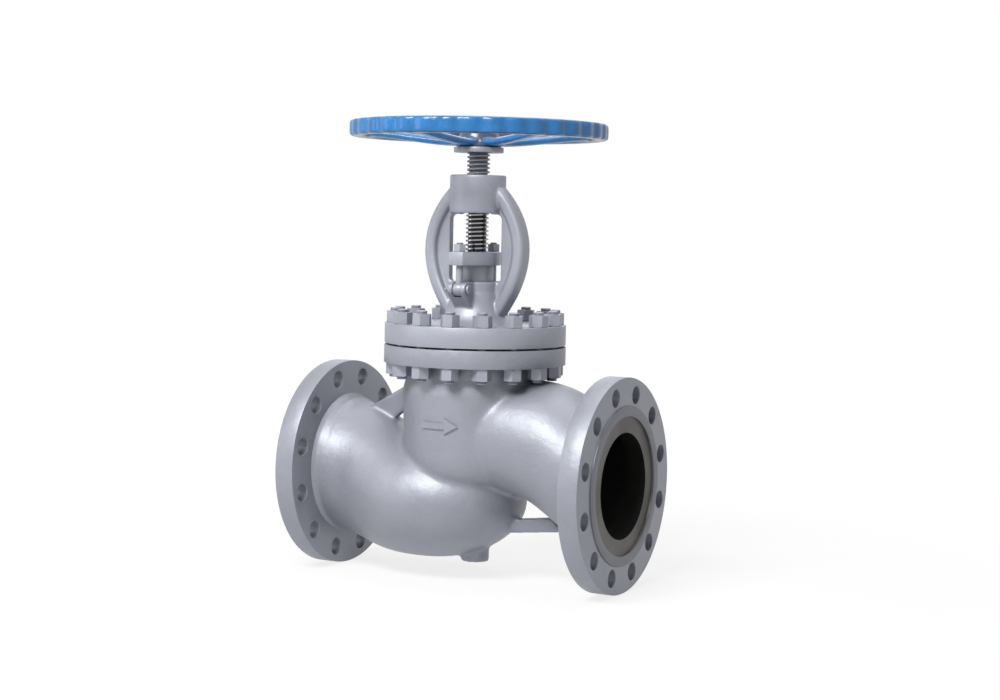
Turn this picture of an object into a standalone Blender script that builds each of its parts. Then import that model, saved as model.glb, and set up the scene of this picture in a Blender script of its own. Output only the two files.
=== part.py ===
"""Flanged globe valve with a bolted bonnet, an outside yoke and a rising handwheel.

The origin is where the pipe axis (X) crosses the stem axis (Z), and the outlet is at +X.
The valve is closed: the disc rests on its seat ring. All sizes are in metres.
"""

import math

import bmesh
import bpy
from mathutils import Matrix, Vector

# Clearances, and how far joined shapes and cutters run into each other
FIT = 0.0003
RUNNING_FIT = 0.0006
WELD = 0.00001
OVERLAP = 0.004

# Pipe ends
FACE_TO_FACE = 0.650
PIPE_BORE_RADIUS = 0.100
PIPE_FLANGE_THICKNESS = 0.042
PIPE_FLANGE_CHAMFER = 0.002
PIPE_BOLT_CIRCLE_RADIUS = 0.1725
PIPE_BOLT_COUNT = 12
PIPE_BOLT_HOLE_RADIUS = 0.017
PIPE_BOLT_TO_EDGE = 0.030
PIPE_BOLT_TO_RAISED_FACE = 0.0225
RAISED_FACE_HEIGHT = 0.003
FACE_RECESS_LAND = 0.020
FACE_RECESS_DEPTH = 0.0045

# Cast branches: each runs from its flange to the middle of the body, and ends in a dome
CAST_WALL = 0.016
NECK_RADIUS = 0.131
WAIST_HALF_HEIGHT = 0.134
WAIST_HALF_WIDTH = 0.125
BOWL_RADIUS = 0.125
BOWL_OFFSET = 0.005
BOWL_DROP = 0.045
BRANCH_LEAD = 0.062
BRANCH_LEAD_DROP = 0.015
BRANCH_SWEEP = 0.122
BRANCH_SWEEP_DROP = 0.068

# Where along a branch, from its flange at 0 to the bowl at 1, its section changes
WAIST_AT = 0.30
BOWL_FROM = 0.45
BOWL_AT = 0.85
PASSAGE_AT = 0.45

# Seat ring and disc
SEAT_BORE_RADIUS = 0.094
SEAT_RING_WALL = 0.008
SEAT_RING_LIP_WIDTH = 0.010
SEAT_RING_LIP_HEIGHT = 0.006
SEAT_RING_LAND = 0.003
DISC_SEATING_WIDTH = 0.012
DISC_THICKNESS = 0.026
DISC_CHAMFER = 0.006
DISC_NOSE_DEPTH = 0.014
DISC_NOSE_CLEARANCE = 0.0012
DISC_BOSS_WALL = 0.0085
DISC_BOSS_FILLET = 0.010
DISC_BOSS_HEIGHT = 0.076
DISC_SOCKET_DEPTH = 0.040
DISC_NUT_SHOULDER = 0.0065
DISC_NUT_DEPTH = 0.020
DISC_NUT_HEX_STEP = 0.0015
DISC_NUT_HEX_HEIGHT = 0.014

# Upper chamber and the wall between the two branches
CHAMBER_CLEARANCE = 0.006
CHAMBER_BULGE = 0.0035
CHAMBER_BULGE_DROP = 0.050
CHAMBER_NECK_WALL = 0.013
CHAMBER_FOOT_TOP = 0.034
CHAMBER_FOOT_DEPTH = 0.058
CHAMBER_FOOT_ROUNDING = 0.042
BRIDGE_HALF_THICKNESS = 0.014

# Body top flange and its studs
TOP_FLANGE_BOTTOM = 0.213
TOP_FLANGE_THICKNESS = 0.0343
TOP_FLANGE_CHAMFER = 0.0015
STUD_COUNT = 16
STUD_RADIUS = 0.010
STUD_HOLE_CLEARANCE = 0.0010
STUD_TO_SPIGOT = 0.0235
STUD_TO_EDGE = 0.0205
STUD_END = 0.006
STUD_NUT_ACROSS_FLATS = 0.032
STUD_NUT_HEIGHT = 0.022

# Ribs and the boss under the bowl. A rib's foot is (distance from the flange, depth under the neck).
RIB_THICKNESS = 0.020
RIB_ROOT = 0.014
UPPER_RIB_FEET = ((0.057, 0.013), (0.097, 0.045))
UPPER_RIB_HEADROOM = 0.035
UPPER_RIB_DEPTH = 0.042
LOWER_RIB_FEET = ((0.083, 0.033), (0.107, 0.060))
LOWER_RIB_ANGLES = (-52.0, -18.5)
BOTTOM_BOSS_RADIUS = 0.028
BOTTOM_BOSS_HEIGHT = 0.001
BOTTOM_BOSS_ROOT = 0.030

# Stem
STEM_RADIUS = 0.022
STEM_HEAD_STEP = 0.008
STEM_COLLAR_STEP = 0.007
STEM_COLLAR_HEIGHT = 0.016
STEM_CHAMFER = 0.004
BACK_SEAT_CONE = 0.006
STEM_LIFT = 0.056
STEM_ABOVE_HUB = 0.0425
STEM_END = 0.004
WHEEL_SEAT_STEP = 0.005

# Bonnet
JOINT_GAP = 0.0034
BONNET_FLANGE_STEP = 0.0005
BONNET_FLANGE_THICKNESS = 0.0386
SPIGOT_CLEARANCE = 0.0005
SPIGOT_WALL = 0.0125
GASKET_THICKNESS = 0.003
GASKET_SINK = 0.001
BONNET_ROOF_DEPTH = 0.0273
BONNET_ROOF_CORNER = 0.014
BUSH_WALL = 0.008
BUSH_LENGTH = 0.0435
BUSH_LIP_WIDTH = 0.006
BUSH_LIP_HEIGHT = 0.006
BUSH_MOUTH = 0.005
NECK_FOOT_RADIUS = 0.086
NECK_WAIST_RADIUS = 0.050
STUFFING_BOX_WALL = 0.014
STUFFING_BOX_HEIGHT = 0.0807
STUFFING_BOX_COLLAR = 0.020

# Packing and gland
PACKING_COUNT = 5
PACKING_WIDTH = 0.011
PACKING_HEIGHT = 0.010
FOLLOWER_SHOW = 0.0315
GLAND_THICKNESS = 0.0252
GLAND_EDGE = 0.0123
GLAND_END = 0.015
GLAND_HOLE_WALL = 0.0072
GLAND_HOLE_CLEARANCE = 0.0008
GLAND_WAIST_ANGLE = 24.0

# Eyebolts and their lugs
EYEBOLT_TO_BOX = 0.020
EYEBOLT_RADIUS = 0.007
EYEBOLT_END = 0.003
EYE_WALL = 0.007
EYE_HALF_WIDTH = 0.008
EYE_PIN_RADIUS = 0.006
EYE_PIN_DROP = 0.014
EYE_PIN_HEAD_STEP = 0.003
EYE_PIN_HEAD_HEIGHT = 0.004
LUG_WALL = 0.008
LUG_EAR = 0.0104
LUG_DEPTH = 0.044
LUG_ROOT = 0.007
GLAND_NUT_ACROSS_FLATS = 0.022
GLAND_NUT_HEIGHT = 0.0145

# Yoke. A pull shapes the arm's curve: (distance from the axis, share of the arm's height).
YOKE_HEIGHT = 0.2114
YOKE_HUB_HEIGHT = 0.0728
YOKE_HUB_WALL = 0.018
YOKE_HUB_ROUNDING = 0.004
YOKE_ARM_HALF_DEPTH = 0.0135
YOKE_ARM_HALF_WIDTH = 0.019
YOKE_ARM_FOOT_REACH = 0.040
YOKE_ARM_FOOT_HEIGHT = 0.0107
YOKE_ARM_LOWER_PULL = (0.105, 0.320)
YOKE_ARM_UPPER_PULL = (0.123, 0.677)
YOKE_ARM_TOP_REACH = 0.038
YOKE_ARM_TOP_DROP = 0.025
YOKE_WEB_THICKNESS = 0.016
YOKE_WINDOW_MARGIN = 0.009
YOKE_WINDOW_EDGE = 0.002
YOKE_WINDOW_CORNER = 0.010
YOKE_NUT_WALL = 0.009
YOKE_NUT_LIP_WIDTH = 0.005
YOKE_NUT_LIP_HEIGHT = 0.009
YOKE_SCREW_RADIUS = 0.004
YOKE_SCREW_DROP = 0.0215

# Handwheel. The rim's section is in shares of its half width and half height.
WHEEL_RADIUS = 0.2475
WHEEL_RIM_WIDTH = 0.026
WHEEL_RIM_HEIGHT = 0.031
WHEEL_RIM_RISE = 0.0214
WHEEL_RIM_SECTION = ((1, 0.5), (1, -0.5), (0.2, -1), (-1, -0.6), (-1, 0.6), (0.2, 1))
WHEEL_BUMPS = 36
WHEEL_BUMP_DEPTH = 0.0035
WHEEL_SPOKES = 5
WHEEL_FIRST_SPOKE = math.radians(-25.5)
WHEEL_HUB_WALL = 0.023
WHEEL_HUB_HEIGHT = 0.028
WHEEL_HUB_TAPER = 0.004
SPOKE_HALF_WIDTH = 0.0168
SPOKE_HALF_THICKNESS = 0.0075
SPOKE_WAIST = 0.0025
SPOKE_ROOT = 0.010
SPOKE_HUB_RISE = 0.0095
SPOKE_RIM_DROP = 0.004
SPOKE_HUB_LEAD = 0.060
SPOKE_RIM_LEAD = 0.070
SPOKE_DISH = 0.003
WHEEL_PLATE_MARGIN = 0.0077
WHEEL_PLATE_THICKNESS = 0.010
WHEEL_WASHER_WIDTH = 0.013
WHEEL_WASHER_THICKNESS = 0.003
WHEEL_NUT_ACROSS_FLATS = 0.046
WHEEL_NUT_HEIGHT = 0.014
KEY_WIDTH = 0.010
KEY_HEIGHT = 0.008

# Facets
LARGE_STEPS = 32
MEDIUM_STEPS = 24
SMALL_STEPS = 16
HOLE_STEPS = 8
HEX_STEPS = 6
BRANCH_SIDES = 24
PASSAGE_SIDES = 16
BRANCH_STATIONS = 8
DOME_STATIONS = 4
DOME_END = math.radians(86)
FOOT_STEPS = 4
NECK_STATIONS = 4
ARM_STATIONS = 9
ARM_SIDES = 10
SPOKE_STATIONS = 5
SPOKE_SIDES = 8
STEPS_PER_BUMP = 3
CORNER_STEPS = 3
SHARP_ANGLE = math.radians(30)
FLAT_ANGLE = math.radians(0.05)

# Radii that follow from the sizes above
PIPE_FLANGE_RADIUS = PIPE_BOLT_CIRCLE_RADIUS + PIPE_BOLT_TO_EDGE
RAISED_FACE_RADIUS = PIPE_BOLT_CIRCLE_RADIUS - PIPE_BOLT_TO_RAISED_FACE
FACE_RECESS_RADIUS = RAISED_FACE_RADIUS - FACE_RECESS_LAND
SEAT_RING_RADIUS = SEAT_BORE_RADIUS + SEAT_RING_WALL
SEAT_RING_LIP_RADIUS = SEAT_RING_RADIUS + SEAT_RING_LIP_WIDTH
CHAMBER_BORE_RADIUS = SEAT_RING_LIP_RADIUS + CHAMBER_CLEARANCE
CHAMBER_RADIUS = CHAMBER_BORE_RADIUS + CAST_WALL
CHAMBER_NECK_RADIUS = CHAMBER_BORE_RADIUS + CHAMBER_NECK_WALL
SPIGOT_BORE_RADIUS = CHAMBER_BORE_RADIUS + SPIGOT_CLEARANCE
SPIGOT_RADIUS = SPIGOT_BORE_RADIUS + SPIGOT_WALL
STUD_CIRCLE_RADIUS = SPIGOT_RADIUS + STUD_TO_SPIGOT
STUD_HOLE_RADIUS = STUD_RADIUS + STUD_HOLE_CLEARANCE
TOP_FLANGE_RADIUS = STUD_CIRCLE_RADIUS + STUD_TO_EDGE
BONNET_FLANGE_RADIUS = TOP_FLANGE_RADIUS - BONNET_FLANGE_STEP
STEM_BORE_RADIUS = STEM_RADIUS + RUNNING_FIT
STEM_HEAD_RADIUS = STEM_RADIUS + STEM_HEAD_STEP
STEM_COLLAR_RADIUS = STEM_RADIUS + STEM_COLLAR_STEP
DISC_RADIUS = SEAT_BORE_RADIUS + DISC_SEATING_WIDTH
DISC_NUT_RADIUS = STEM_HEAD_RADIUS + DISC_NUT_SHOULDER
DISC_BOSS_RADIUS = DISC_NUT_RADIUS + DISC_BOSS_WALL
BUSH_RADIUS = STEM_RADIUS + BUSH_WALL
BUSH_LIP_RADIUS = BUSH_RADIUS + BUSH_LIP_WIDTH
PACKING_RADIUS = STEM_RADIUS + PACKING_WIDTH
STUFFING_BOX_BORE_RADIUS = PACKING_RADIUS + FIT
STUFFING_BOX_RADIUS = PACKING_RADIUS + STUFFING_BOX_WALL
FOLLOWER_RADIUS = PACKING_RADIUS - FIT
GLAND_HALF_WIDTH = FOLLOWER_RADIUS + GLAND_EDGE
GLAND_HOLE_RADIUS = EYEBOLT_RADIUS + GLAND_HOLE_CLEARANCE
EYEBOLT_REACH = STUFFING_BOX_RADIUS + EYEBOLT_TO_BOX
EYE_RADIUS = EYE_PIN_RADIUS + EYE_WALL
LUG_RADIUS = EYE_PIN_RADIUS + LUG_WALL
LUG_SLOT_HALF_WIDTH = EYE_HALF_WIDTH + RUNNING_FIT
LUG_HALF_WIDTH = LUG_SLOT_HALF_WIDTH + LUG_EAR
YOKE_NUT_RADIUS = STEM_RADIUS + YOKE_NUT_WALL
YOKE_NUT_LIP_RADIUS = YOKE_NUT_RADIUS + YOKE_NUT_LIP_WIDTH
YOKE_HUB_RADIUS = YOKE_NUT_LIP_RADIUS + YOKE_HUB_WALL
WHEEL_SEAT_RADIUS = STEM_RADIUS - WHEEL_SEAT_STEP
WHEEL_BORE_RADIUS = WHEEL_SEAT_RADIUS + FIT
WHEEL_HUB_RADIUS = WHEEL_SEAT_RADIUS + WHEEL_HUB_WALL

# Heights and places that follow from the sizes above
FLANGE_BACK = FACE_TO_FACE / 2 - PIPE_FLANGE_THICKNESS
BOTTOM_BOSS_FACE = -BOWL_DROP - BOWL_RADIUS - BOTTOM_BOSS_HEIGHT
SEAT_FACE = BRIDGE_HALF_THICKNESS + SEAT_RING_LIP_HEIGHT + FIT
DISC_BOTTOM = SEAT_FACE + FIT
DISC_TOP = DISC_BOTTOM + DISC_THICKNESS
DISC_BOSS_TOP = DISC_BOTTOM + DISC_BOSS_HEIGHT
DISC_SOCKET_FLOOR = DISC_BOSS_TOP - DISC_SOCKET_DEPTH
DISC_NUT_BOTTOM = DISC_BOSS_TOP - DISC_NUT_DEPTH + FIT
TOP_FLANGE_TOP = TOP_FLANGE_BOTTOM + TOP_FLANGE_THICKNESS
GASKET_BOTTOM = TOP_FLANGE_TOP - GASKET_THICKNESS - GASKET_SINK
SPIGOT_FACE = GASKET_BOTTOM + GASKET_THICKNESS + FIT
BONNET_FLANGE_BOTTOM = TOP_FLANGE_TOP + JOINT_GAP
BONNET_FLANGE_TOP = BONNET_FLANGE_BOTTOM + BONNET_FLANGE_THICKNESS
BONNET_ROOF = BONNET_FLANGE_TOP - BONNET_ROOF_DEPTH
BUSH_LIP_BOTTOM = BONNET_ROOF - BUSH_LIP_HEIGHT - FIT
STEM_COLLAR_TOP = BUSH_LIP_BOTTOM - STEM_LIFT - FIT
STUFFING_BOX_FLOOR = BONNET_ROOF + BUSH_LENGTH
STUFFING_BOX_TOP = BONNET_FLANGE_TOP + STUFFING_BOX_HEIGHT
FOLLOWER_BOTTOM = STUFFING_BOX_FLOOR + PACKING_COUNT * (PACKING_HEIGHT + FIT) + FIT
EYE_PIN_HEIGHT = STUFFING_BOX_TOP - EYE_PIN_DROP
GLAND_BOTTOM = STUFFING_BOX_TOP + FOLLOWER_SHOW
GLAND_TOP = GLAND_BOTTOM + GLAND_THICKNESS
YOKE_HUB_BOTTOM = BONNET_FLANGE_TOP + YOKE_HEIGHT
YOKE_HUB_TOP = YOKE_HUB_BOTTOM + YOKE_HUB_HEIGHT
YOKE_SCREW_HEIGHT = YOKE_HUB_TOP - YOKE_SCREW_DROP
STEM_SHOULDER = YOKE_HUB_TOP + STEM_ABOVE_HUB
WHEEL_PLATE_BOTTOM = STEM_SHOULDER + FIT
WHEEL_HUB_BOTTOM = WHEEL_PLATE_BOTTOM + WHEEL_PLATE_THICKNESS + FIT
WHEEL_HUB_TOP = WHEEL_HUB_BOTTOM + WHEEL_HUB_HEIGHT
WHEEL_RIM_MIDDLE = WHEEL_HUB_BOTTOM + WHEEL_RIM_RISE
WHEEL_WASHER_BOTTOM = WHEEL_HUB_TOP + FIT
WHEEL_NUT_BOTTOM = WHEEL_WASHER_BOTTOM + WHEEL_WASHER_THICKNESS + FIT
STEM_TOP = WHEEL_NUT_BOTTOM + WHEEL_NUT_HEIGHT + STEM_END

# Colours, roughness and metallic values
PAINTED_CASTING = ("silver paint on casting", (0.48, 0.49, 0.54), 0.42, 0.55)
PAINTED_STEEL = ("silver paint on steel", (0.52, 0.53, 0.57), 0.38, 0.60)
BARE_STEEL = ("turned steel", (0.30, 0.30, 0.31), 0.30, 0.90)
SEAT_ALLOY = ("hard facing alloy", (0.55, 0.54, 0.52), 0.25, 0.95)
BRONZE = ("bronze", (0.60, 0.42, 0.20), 0.35, 0.95)
GRAPHITE = ("braided graphite", (0.05, 0.05, 0.055), 0.75, 0.10)
BLUE_ENAMEL = ("blue enamel", (0.04, 0.27, 0.60), 0.28, 0.00)

Z_TO_X = Matrix.Rotation(math.radians(90), 4, "Y")
Z_TO_FRONT = Matrix.Rotation(math.radians(90), 4, "X")
Z_TO_BACK = Matrix.Rotation(math.radians(-90), 4, "X")
X_TO_Y = Matrix.Rotation(math.radians(90), 4, "Z")
HALF_TURN_ABOUT_Y = Matrix.Rotation(math.pi, 4, "Y")
HALF_TURN_ABOUT_Z = Matrix.Rotation(math.pi, 4, "Z")


def clear_scene():
    """Start from an empty scene."""
    for thing in list(bpy.data.objects):
        bpy.data.objects.remove(thing)


def material(finish):
    """The Principled material of one finish, made once."""
    name, colour, roughness, metallic = finish
    found = bpy.data.materials.get(name)
    if found:
        return found
    made = bpy.data.materials.new(name)
    made.use_nodes = True
    made.diffuse_color = (*colour, 1.0)
    shader = made.node_tree.nodes["Principled BSDF"]
    shader.inputs["Base Color"].default_value = (*colour, 1.0)
    shader.inputs["Roughness"].default_value = roughness
    shader.inputs["Metallic"].default_value = metallic
    return made


def pivot(name, place=(0, 0, 0), turn=0.0, parent=None):
    """An empty that carries the pieces which belong or move together."""
    empty = bpy.data.objects.new(name, None)
    bpy.context.scene.collection.objects.link(empty)
    empty.location = place
    empty.rotation_euler.z = turn
    empty.parent = parent
    return empty


def hang(parent, *pieces):
    """Hang pieces on what carries them."""
    for piece in pieces:
        piece.parent = parent


def to_object(bm, name="shape"):
    """Turn an edited mesh, with its faces outwards, into an object of the scene."""
    bmesh.ops.recalc_face_normals(bm, faces=bm.faces)
    if bm.calc_volume(signed=True) < 0:
        bmesh.ops.reverse_faces(bm, faces=bm.faces)
    mesh = bpy.data.meshes.new(name)
    bm.to_mesh(mesh)
    bm.free()
    made = bpy.data.objects.new(name, mesh)
    bpy.context.scene.collection.objects.link(made)
    return made


def finish(thing, name, surface, height=0.0):
    """Name a piece, shade it, and set its origin on the stem's axis at its own height."""
    thing.name = name
    thing.data.name = name
    thing.data.materials.clear()
    thing.data.materials.append(material(surface))
    thing.data.shade_smooth()
    thing.data.set_sharp_from_angle(angle=SHARP_ANGLE)
    thing.data.transform(Matrix.Translation((0, 0, -height)))
    thing.location.z = height
    return thing


def repeat(piece, name):
    """Another piece with the same mesh."""
    twin = bpy.data.objects.new(name, piece.data)
    bpy.context.scene.collection.objects.link(twin)
    return twin


def move(thing, matrix):
    """Move a shape within its mesh."""
    thing.data.transform(matrix)
    return thing


def combine(thing, tool, operation):
    """Join the second body to the first, or cut it out, and remove the second."""
    step = thing.modifiers.new(operation.title(), "BOOLEAN")
    step.operation = operation
    step.solver = "EXACT"
    step.object = tool
    graph = bpy.context.evaluated_depsgraph_get()
    result = bpy.data.meshes.new_from_object(thing.evaluated_get(graph))
    thing.modifiers.clear()
    thing.data = result
    bpy.data.objects.remove(tool)
    return thing


def join(thing, *tools):
    """Unite a body with others that overlap it."""
    for tool in tools:
        combine(thing, tool, "UNION")
    return thing


def cut(thing, *tools):
    """Take other bodies out of a body."""
    for tool in tools:
        combine(thing, tool, "DIFFERENCE")
    return thing


def weld(thing):
    """Merge the slivers that cutting leaves, make flat faces whole and drop what has no face."""
    bm = bmesh.new()
    bm.from_mesh(thing.data)
    bmesh.ops.remove_doubles(bm, verts=bm.verts, dist=WELD)
    bmesh.ops.dissolve_degenerate(bm, edges=bm.edges, dist=WELD)
    bmesh.ops.dissolve_limit(bm, angle_limit=FLAT_ANGLE, verts=bm.verts, edges=bm.edges)
    bmesh.ops.delete(bm, geom=[edge for edge in bm.edges if not edge.link_faces], context="EDGES")
    bmesh.ops.delete(bm, geom=[vert for vert in bm.verts if not vert.link_faces], context="VERTS")
    bm.to_mesh(thing.data)
    bm.free()
    return thing


def turned(profile, steps):
    """A body turned about Z from (radius, height) points, either a ring or closed on the axis."""
    bm = bmesh.new()
    verts = [bm.verts.new((radius, 0, height)) for radius, height in profile]
    edges = [bm.edges.new(pair) for pair in zip(verts, verts[1:])]
    if profile[0][0] > 0:
        edges.append(bm.edges.new((verts[-1], verts[0])))
    bmesh.ops.spin(bm, geom=verts + edges, axis=(0, 0, 1), angle=2 * math.pi, steps=steps, use_merge=True)
    bmesh.ops.remove_doubles(bm, verts=bm.verts, dist=WELD)
    return to_object(bm)


def tube(outer, inner, bottom, top, steps):
    """A plain sleeve about Z."""
    return turned([(inner, bottom), (outer, bottom), (outer, top), (inner, top)], steps)


def rod(radius, bottom, top, steps, turn=0.0):
    """A solid round or prismatic bar about Z."""
    bm = bmesh.new()
    place = Matrix.Translation((0, 0, (bottom + top) / 2)) @ Matrix.Rotation(turn, 4, "Z")
    bmesh.ops.create_cone(bm, cap_ends=True, segments=steps, radius1=radius, radius2=radius,
                          depth=top - bottom, matrix=place)
    return to_object(bm)


def hexagon(across_flats, bottom, top):
    """A solid six-sided bar about Z with a corner on X."""
    return rod(across_flats / math.sqrt(3), bottom, top, HEX_STEPS, math.radians(30))


def block(low, high):
    """A box between two corners."""
    bm = bmesh.new()
    low, high = Vector(low), Vector(high)
    place = Matrix.Translation((low + high) / 2) @ Matrix.Diagonal((*(high - low), 1))
    bmesh.ops.create_cube(bm, size=1, matrix=place)
    return to_object(bm)


def plate(outline, half_thickness):
    """A flat plate in the XZ plane, as thick on both sides of it."""
    bm = bmesh.new()
    face = bm.faces.new([bm.verts.new((x, -half_thickness, z)) for x, z in outline])
    grown = bmesh.ops.extrude_face_region(bm, geom=[face])["geom"]
    verts = [item for item in grown if isinstance(item, bmesh.types.BMVert)]
    bmesh.ops.translate(bm, verts=verts, vec=(0, 2 * half_thickness, 0))
    return to_object(bm)


def ring_of(tool_maker, count, radius, phase):
    """One body of copies spaced evenly on a circle about Z."""
    bm = bmesh.new()
    for number in range(count):
        copy = tool_maker()
        turn = Matrix.Rotation(phase + 2 * math.pi * number / count, 4, "Z")
        copy.data.transform(turn @ Matrix.Translation((radius, 0, 0)))
        bm.from_mesh(copy.data)
        bpy.data.objects.remove(copy)
    return to_object(bm)


def arc(centre, width, start, end, steps, height=None):
    """Points on an arc between two angles in degrees, round or, with a height, elliptical."""
    points = []
    for step in range(steps + 1):
        angle = math.radians(start + (end - start) * step / steps)
        points.append((centre[0] + width * math.cos(angle), centre[1] + (height or width) * math.sin(angle)))
    return points


def bezier(points, t):
    """A point on a cubic curve and the direction there."""
    a, b, c, d = (Vector(point) for point in points)
    s = 1 - t
    place = a * s ** 3 + b * 3 * s * s * t + c * 3 * s * t * t + d * t ** 3
    direction = (b - a) * s * s + (c - b) * 2 * s * t + (d - c) * t * t
    return place, direction.normalized()


def bezier_points(points, stations):
    """Evenly stepped points along a cubic curve."""
    return [tuple(bezier(points, station / stations)[0]) for station in range(stations + 1)]


def ease(t):
    """A smooth step from 0 to 1."""
    t = max(0.0, min(1.0, t))
    return t * t * (3 - 2 * t)


def loft(rings, sides):
    """A closed body through rings in the XZ plane, each a (place, direction, across, along Y) row."""
    bm = bmesh.new()
    loops = []
    for place, direction, across, along in rings:
        forward = Vector((direction[0], 0, direction[1]))
        side = Vector((0, 1, 0))
        up = forward.cross(side)
        turn = Matrix((up * across, side * along, forward)).transposed().to_4x4()
        matrix = Matrix.Translation((place[0], 0, place[1])) @ turn
        verts = bmesh.ops.create_circle(bm, segments=sides, radius=1, matrix=matrix)["verts"]
        loops.append([edge for edge in bm.edges if edge.verts[0] in verts and edge.verts[1] in verts])
    for first, second in zip(loops, loops[1:]):
        bmesh.ops.bridge_loops(bm, edges=first + second)
    bmesh.ops.contextual_create(bm, geom=loops[0])
    bmesh.ops.contextual_create(bm, geom=loops[-1])
    return to_object(bm)


def outer_size(t):
    """Half height and half width of the cast branch from its flange, t = 0, to the bowl, t = 1."""
    size = []
    for waist in (WAIST_HALF_HEIGHT, WAIST_HALF_WIDTH):
        upstream = NECK_RADIUS + (waist - NECK_RADIUS) * ease(t / WAIST_AT)
        size.append(upstream + (BOWL_RADIUS - waist) * ease((t - BOWL_FROM) / (BOWL_AT - BOWL_FROM)))
    return size


def inner_size(t):
    """Half height and half width of the flow passage in the same branch."""
    share = ease(t / PASSAGE_AT)
    return [PIPE_BORE_RADIUS * (1 - share) + (outer - CAST_WALL) * share for outer in outer_size(t)]


def branch(size_at, sides, lead_in=0.0):
    """The inlet branch: upright rings that dip from the flange to the bowl, which ends in a dome."""
    start = (-FLANGE_BACK - OVERLAP, 0.0)
    lead = (start[0] + BRANCH_LEAD, -BRANCH_LEAD_DROP)
    sweep = (start[0] + BRANCH_SWEEP, -BRANCH_SWEEP_DROP)
    end = (-BOWL_OFFSET, -BOWL_DROP)
    level = (1.0, 0.0)
    rings = []
    if lead_in:
        rings.append(((start[0] - lead_in, start[1]), level, *size_at(0)))
    for station in range(BRANCH_STATIONS + 1):
        t = station / BRANCH_STATIONS
        rings.append((bezier((start, lead, sweep, end), t)[0], level, *size_at(t)))
    reach = size_at(1)[0]
    for station in range(1, DOME_STATIONS + 1):
        angle = DOME_END * station / DOME_STATIONS
        radius = reach * math.cos(angle)
        rings.append(((end[0] + reach * math.sin(angle), end[1]), level, radius, radius))
    return loft(rings, sides)


def pipe_flange():
    """One pipe flange about Z, with its back at 0 and its raised face up."""
    top = PIPE_FLANGE_THICKNESS - RAISED_FACE_HEIGHT
    chamfer = PIPE_FLANGE_CHAMFER
    flange = turned([(0, 0), (PIPE_FLANGE_RADIUS, 0), (PIPE_FLANGE_RADIUS, top - chamfer),
                     (PIPE_FLANGE_RADIUS - chamfer, top),
                     (RAISED_FACE_RADIUS, top), (RAISED_FACE_RADIUS, PIPE_FLANGE_THICKNESS),
                     (FACE_RECESS_RADIUS, PIPE_FLANGE_THICKNESS),
                     (FACE_RECESS_RADIUS, PIPE_FLANGE_THICKNESS - FACE_RECESS_DEPTH),
                     (0, PIPE_FLANGE_THICKNESS - FACE_RECESS_DEPTH)], LARGE_STEPS)
    holes = ring_of(lambda: rod(PIPE_BOLT_HOLE_RADIUS, -OVERLAP, PIPE_FLANGE_THICKNESS, HOLE_STEPS),
                    PIPE_BOLT_COUNT, PIPE_BOLT_CIRCLE_RADIUS, math.pi / PIPE_BOLT_COUNT)
    return cut(flange, holes)


def chamber():
    """The upright chamber under the bonnet, from its rounded foot to its flange."""
    foot = arc((CHAMBER_RADIUS - CHAMBER_FOOT_ROUNDING, CHAMBER_FOOT_TOP), CHAMBER_FOOT_ROUNDING, -90, 0,
               FOOT_STEPS, CHAMBER_FOOT_DEPTH)
    recess = SPIGOT_RADIUS + FIT
    return turned([(0, foot[0][1])] + foot
                  + [(CHAMBER_RADIUS + CHAMBER_BULGE, TOP_FLANGE_BOTTOM - CHAMBER_BULGE_DROP),
                     (CHAMBER_NECK_RADIUS, TOP_FLANGE_BOTTOM - STUD_NUT_HEIGHT - STUD_END),
                     (CHAMBER_NECK_RADIUS, TOP_FLANGE_BOTTOM),
                     (TOP_FLANGE_RADIUS, TOP_FLANGE_BOTTOM),
                     (TOP_FLANGE_RADIUS, TOP_FLANGE_TOP - TOP_FLANGE_CHAMFER),
                     (TOP_FLANGE_RADIUS - TOP_FLANGE_CHAMFER, TOP_FLANGE_TOP),
                     (recess, TOP_FLANGE_TOP), (recess, GASKET_BOTTOM - FIT), (0, GASKET_BOTTOM - FIT)],
                  LARGE_STEPS)


def stud_holes(bottom, top):
    """Cutter for the bonnet studs' holes through one flange."""
    return ring_of(lambda: rod(STUD_HOLE_RADIUS, bottom - OVERLAP, top + OVERLAP, HOLE_STEPS),
                   STUD_COUNT, STUD_CIRCLE_RADIUS, math.pi / STUD_COUNT)


def upper_rib():
    """The strut from the inlet's shoulder up to the chamber."""
    near, far = [(-FLANGE_BACK + distance, NECK_RADIUS - depth) for distance, depth in UPPER_RIB_FEET]
    wall = -CHAMBER_RADIUS + RIB_ROOT
    top = TOP_FLANGE_BOTTOM - UPPER_RIB_HEADROOM
    return plate([near, (wall, top), (wall, top - UPPER_RIB_DEPTH), far], RIB_THICKNESS / 2)


def lower_rib():
    """The strut from the bowl down to the outlet's underside."""
    near, far = [(FLANGE_BACK - distance, -NECK_RADIUS + depth) for distance, depth in LOWER_RIB_FEET]
    low, high = [arc((-BOWL_OFFSET, -BOWL_DROP), BOWL_RADIUS - RIB_ROOT, angle, angle, 1)[0]
                 for angle in LOWER_RIB_ANGLES]
    return plate([low, near, far, high], RIB_THICKNESS / 2)


def flow_passage():
    """The hollow of the inlet branch, up to the bridge wall under the seat."""
    wall = rod(CHAMBER_RADIUS + CHAMBER_BULGE, -BRIDGE_HALF_THICKNESS, TOP_FLANGE_BOTTOM, MEDIUM_STEPS)
    return cut(branch(inner_size, PASSAGE_SIDES, PIPE_FLANGE_THICKNESS), wall)


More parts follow.
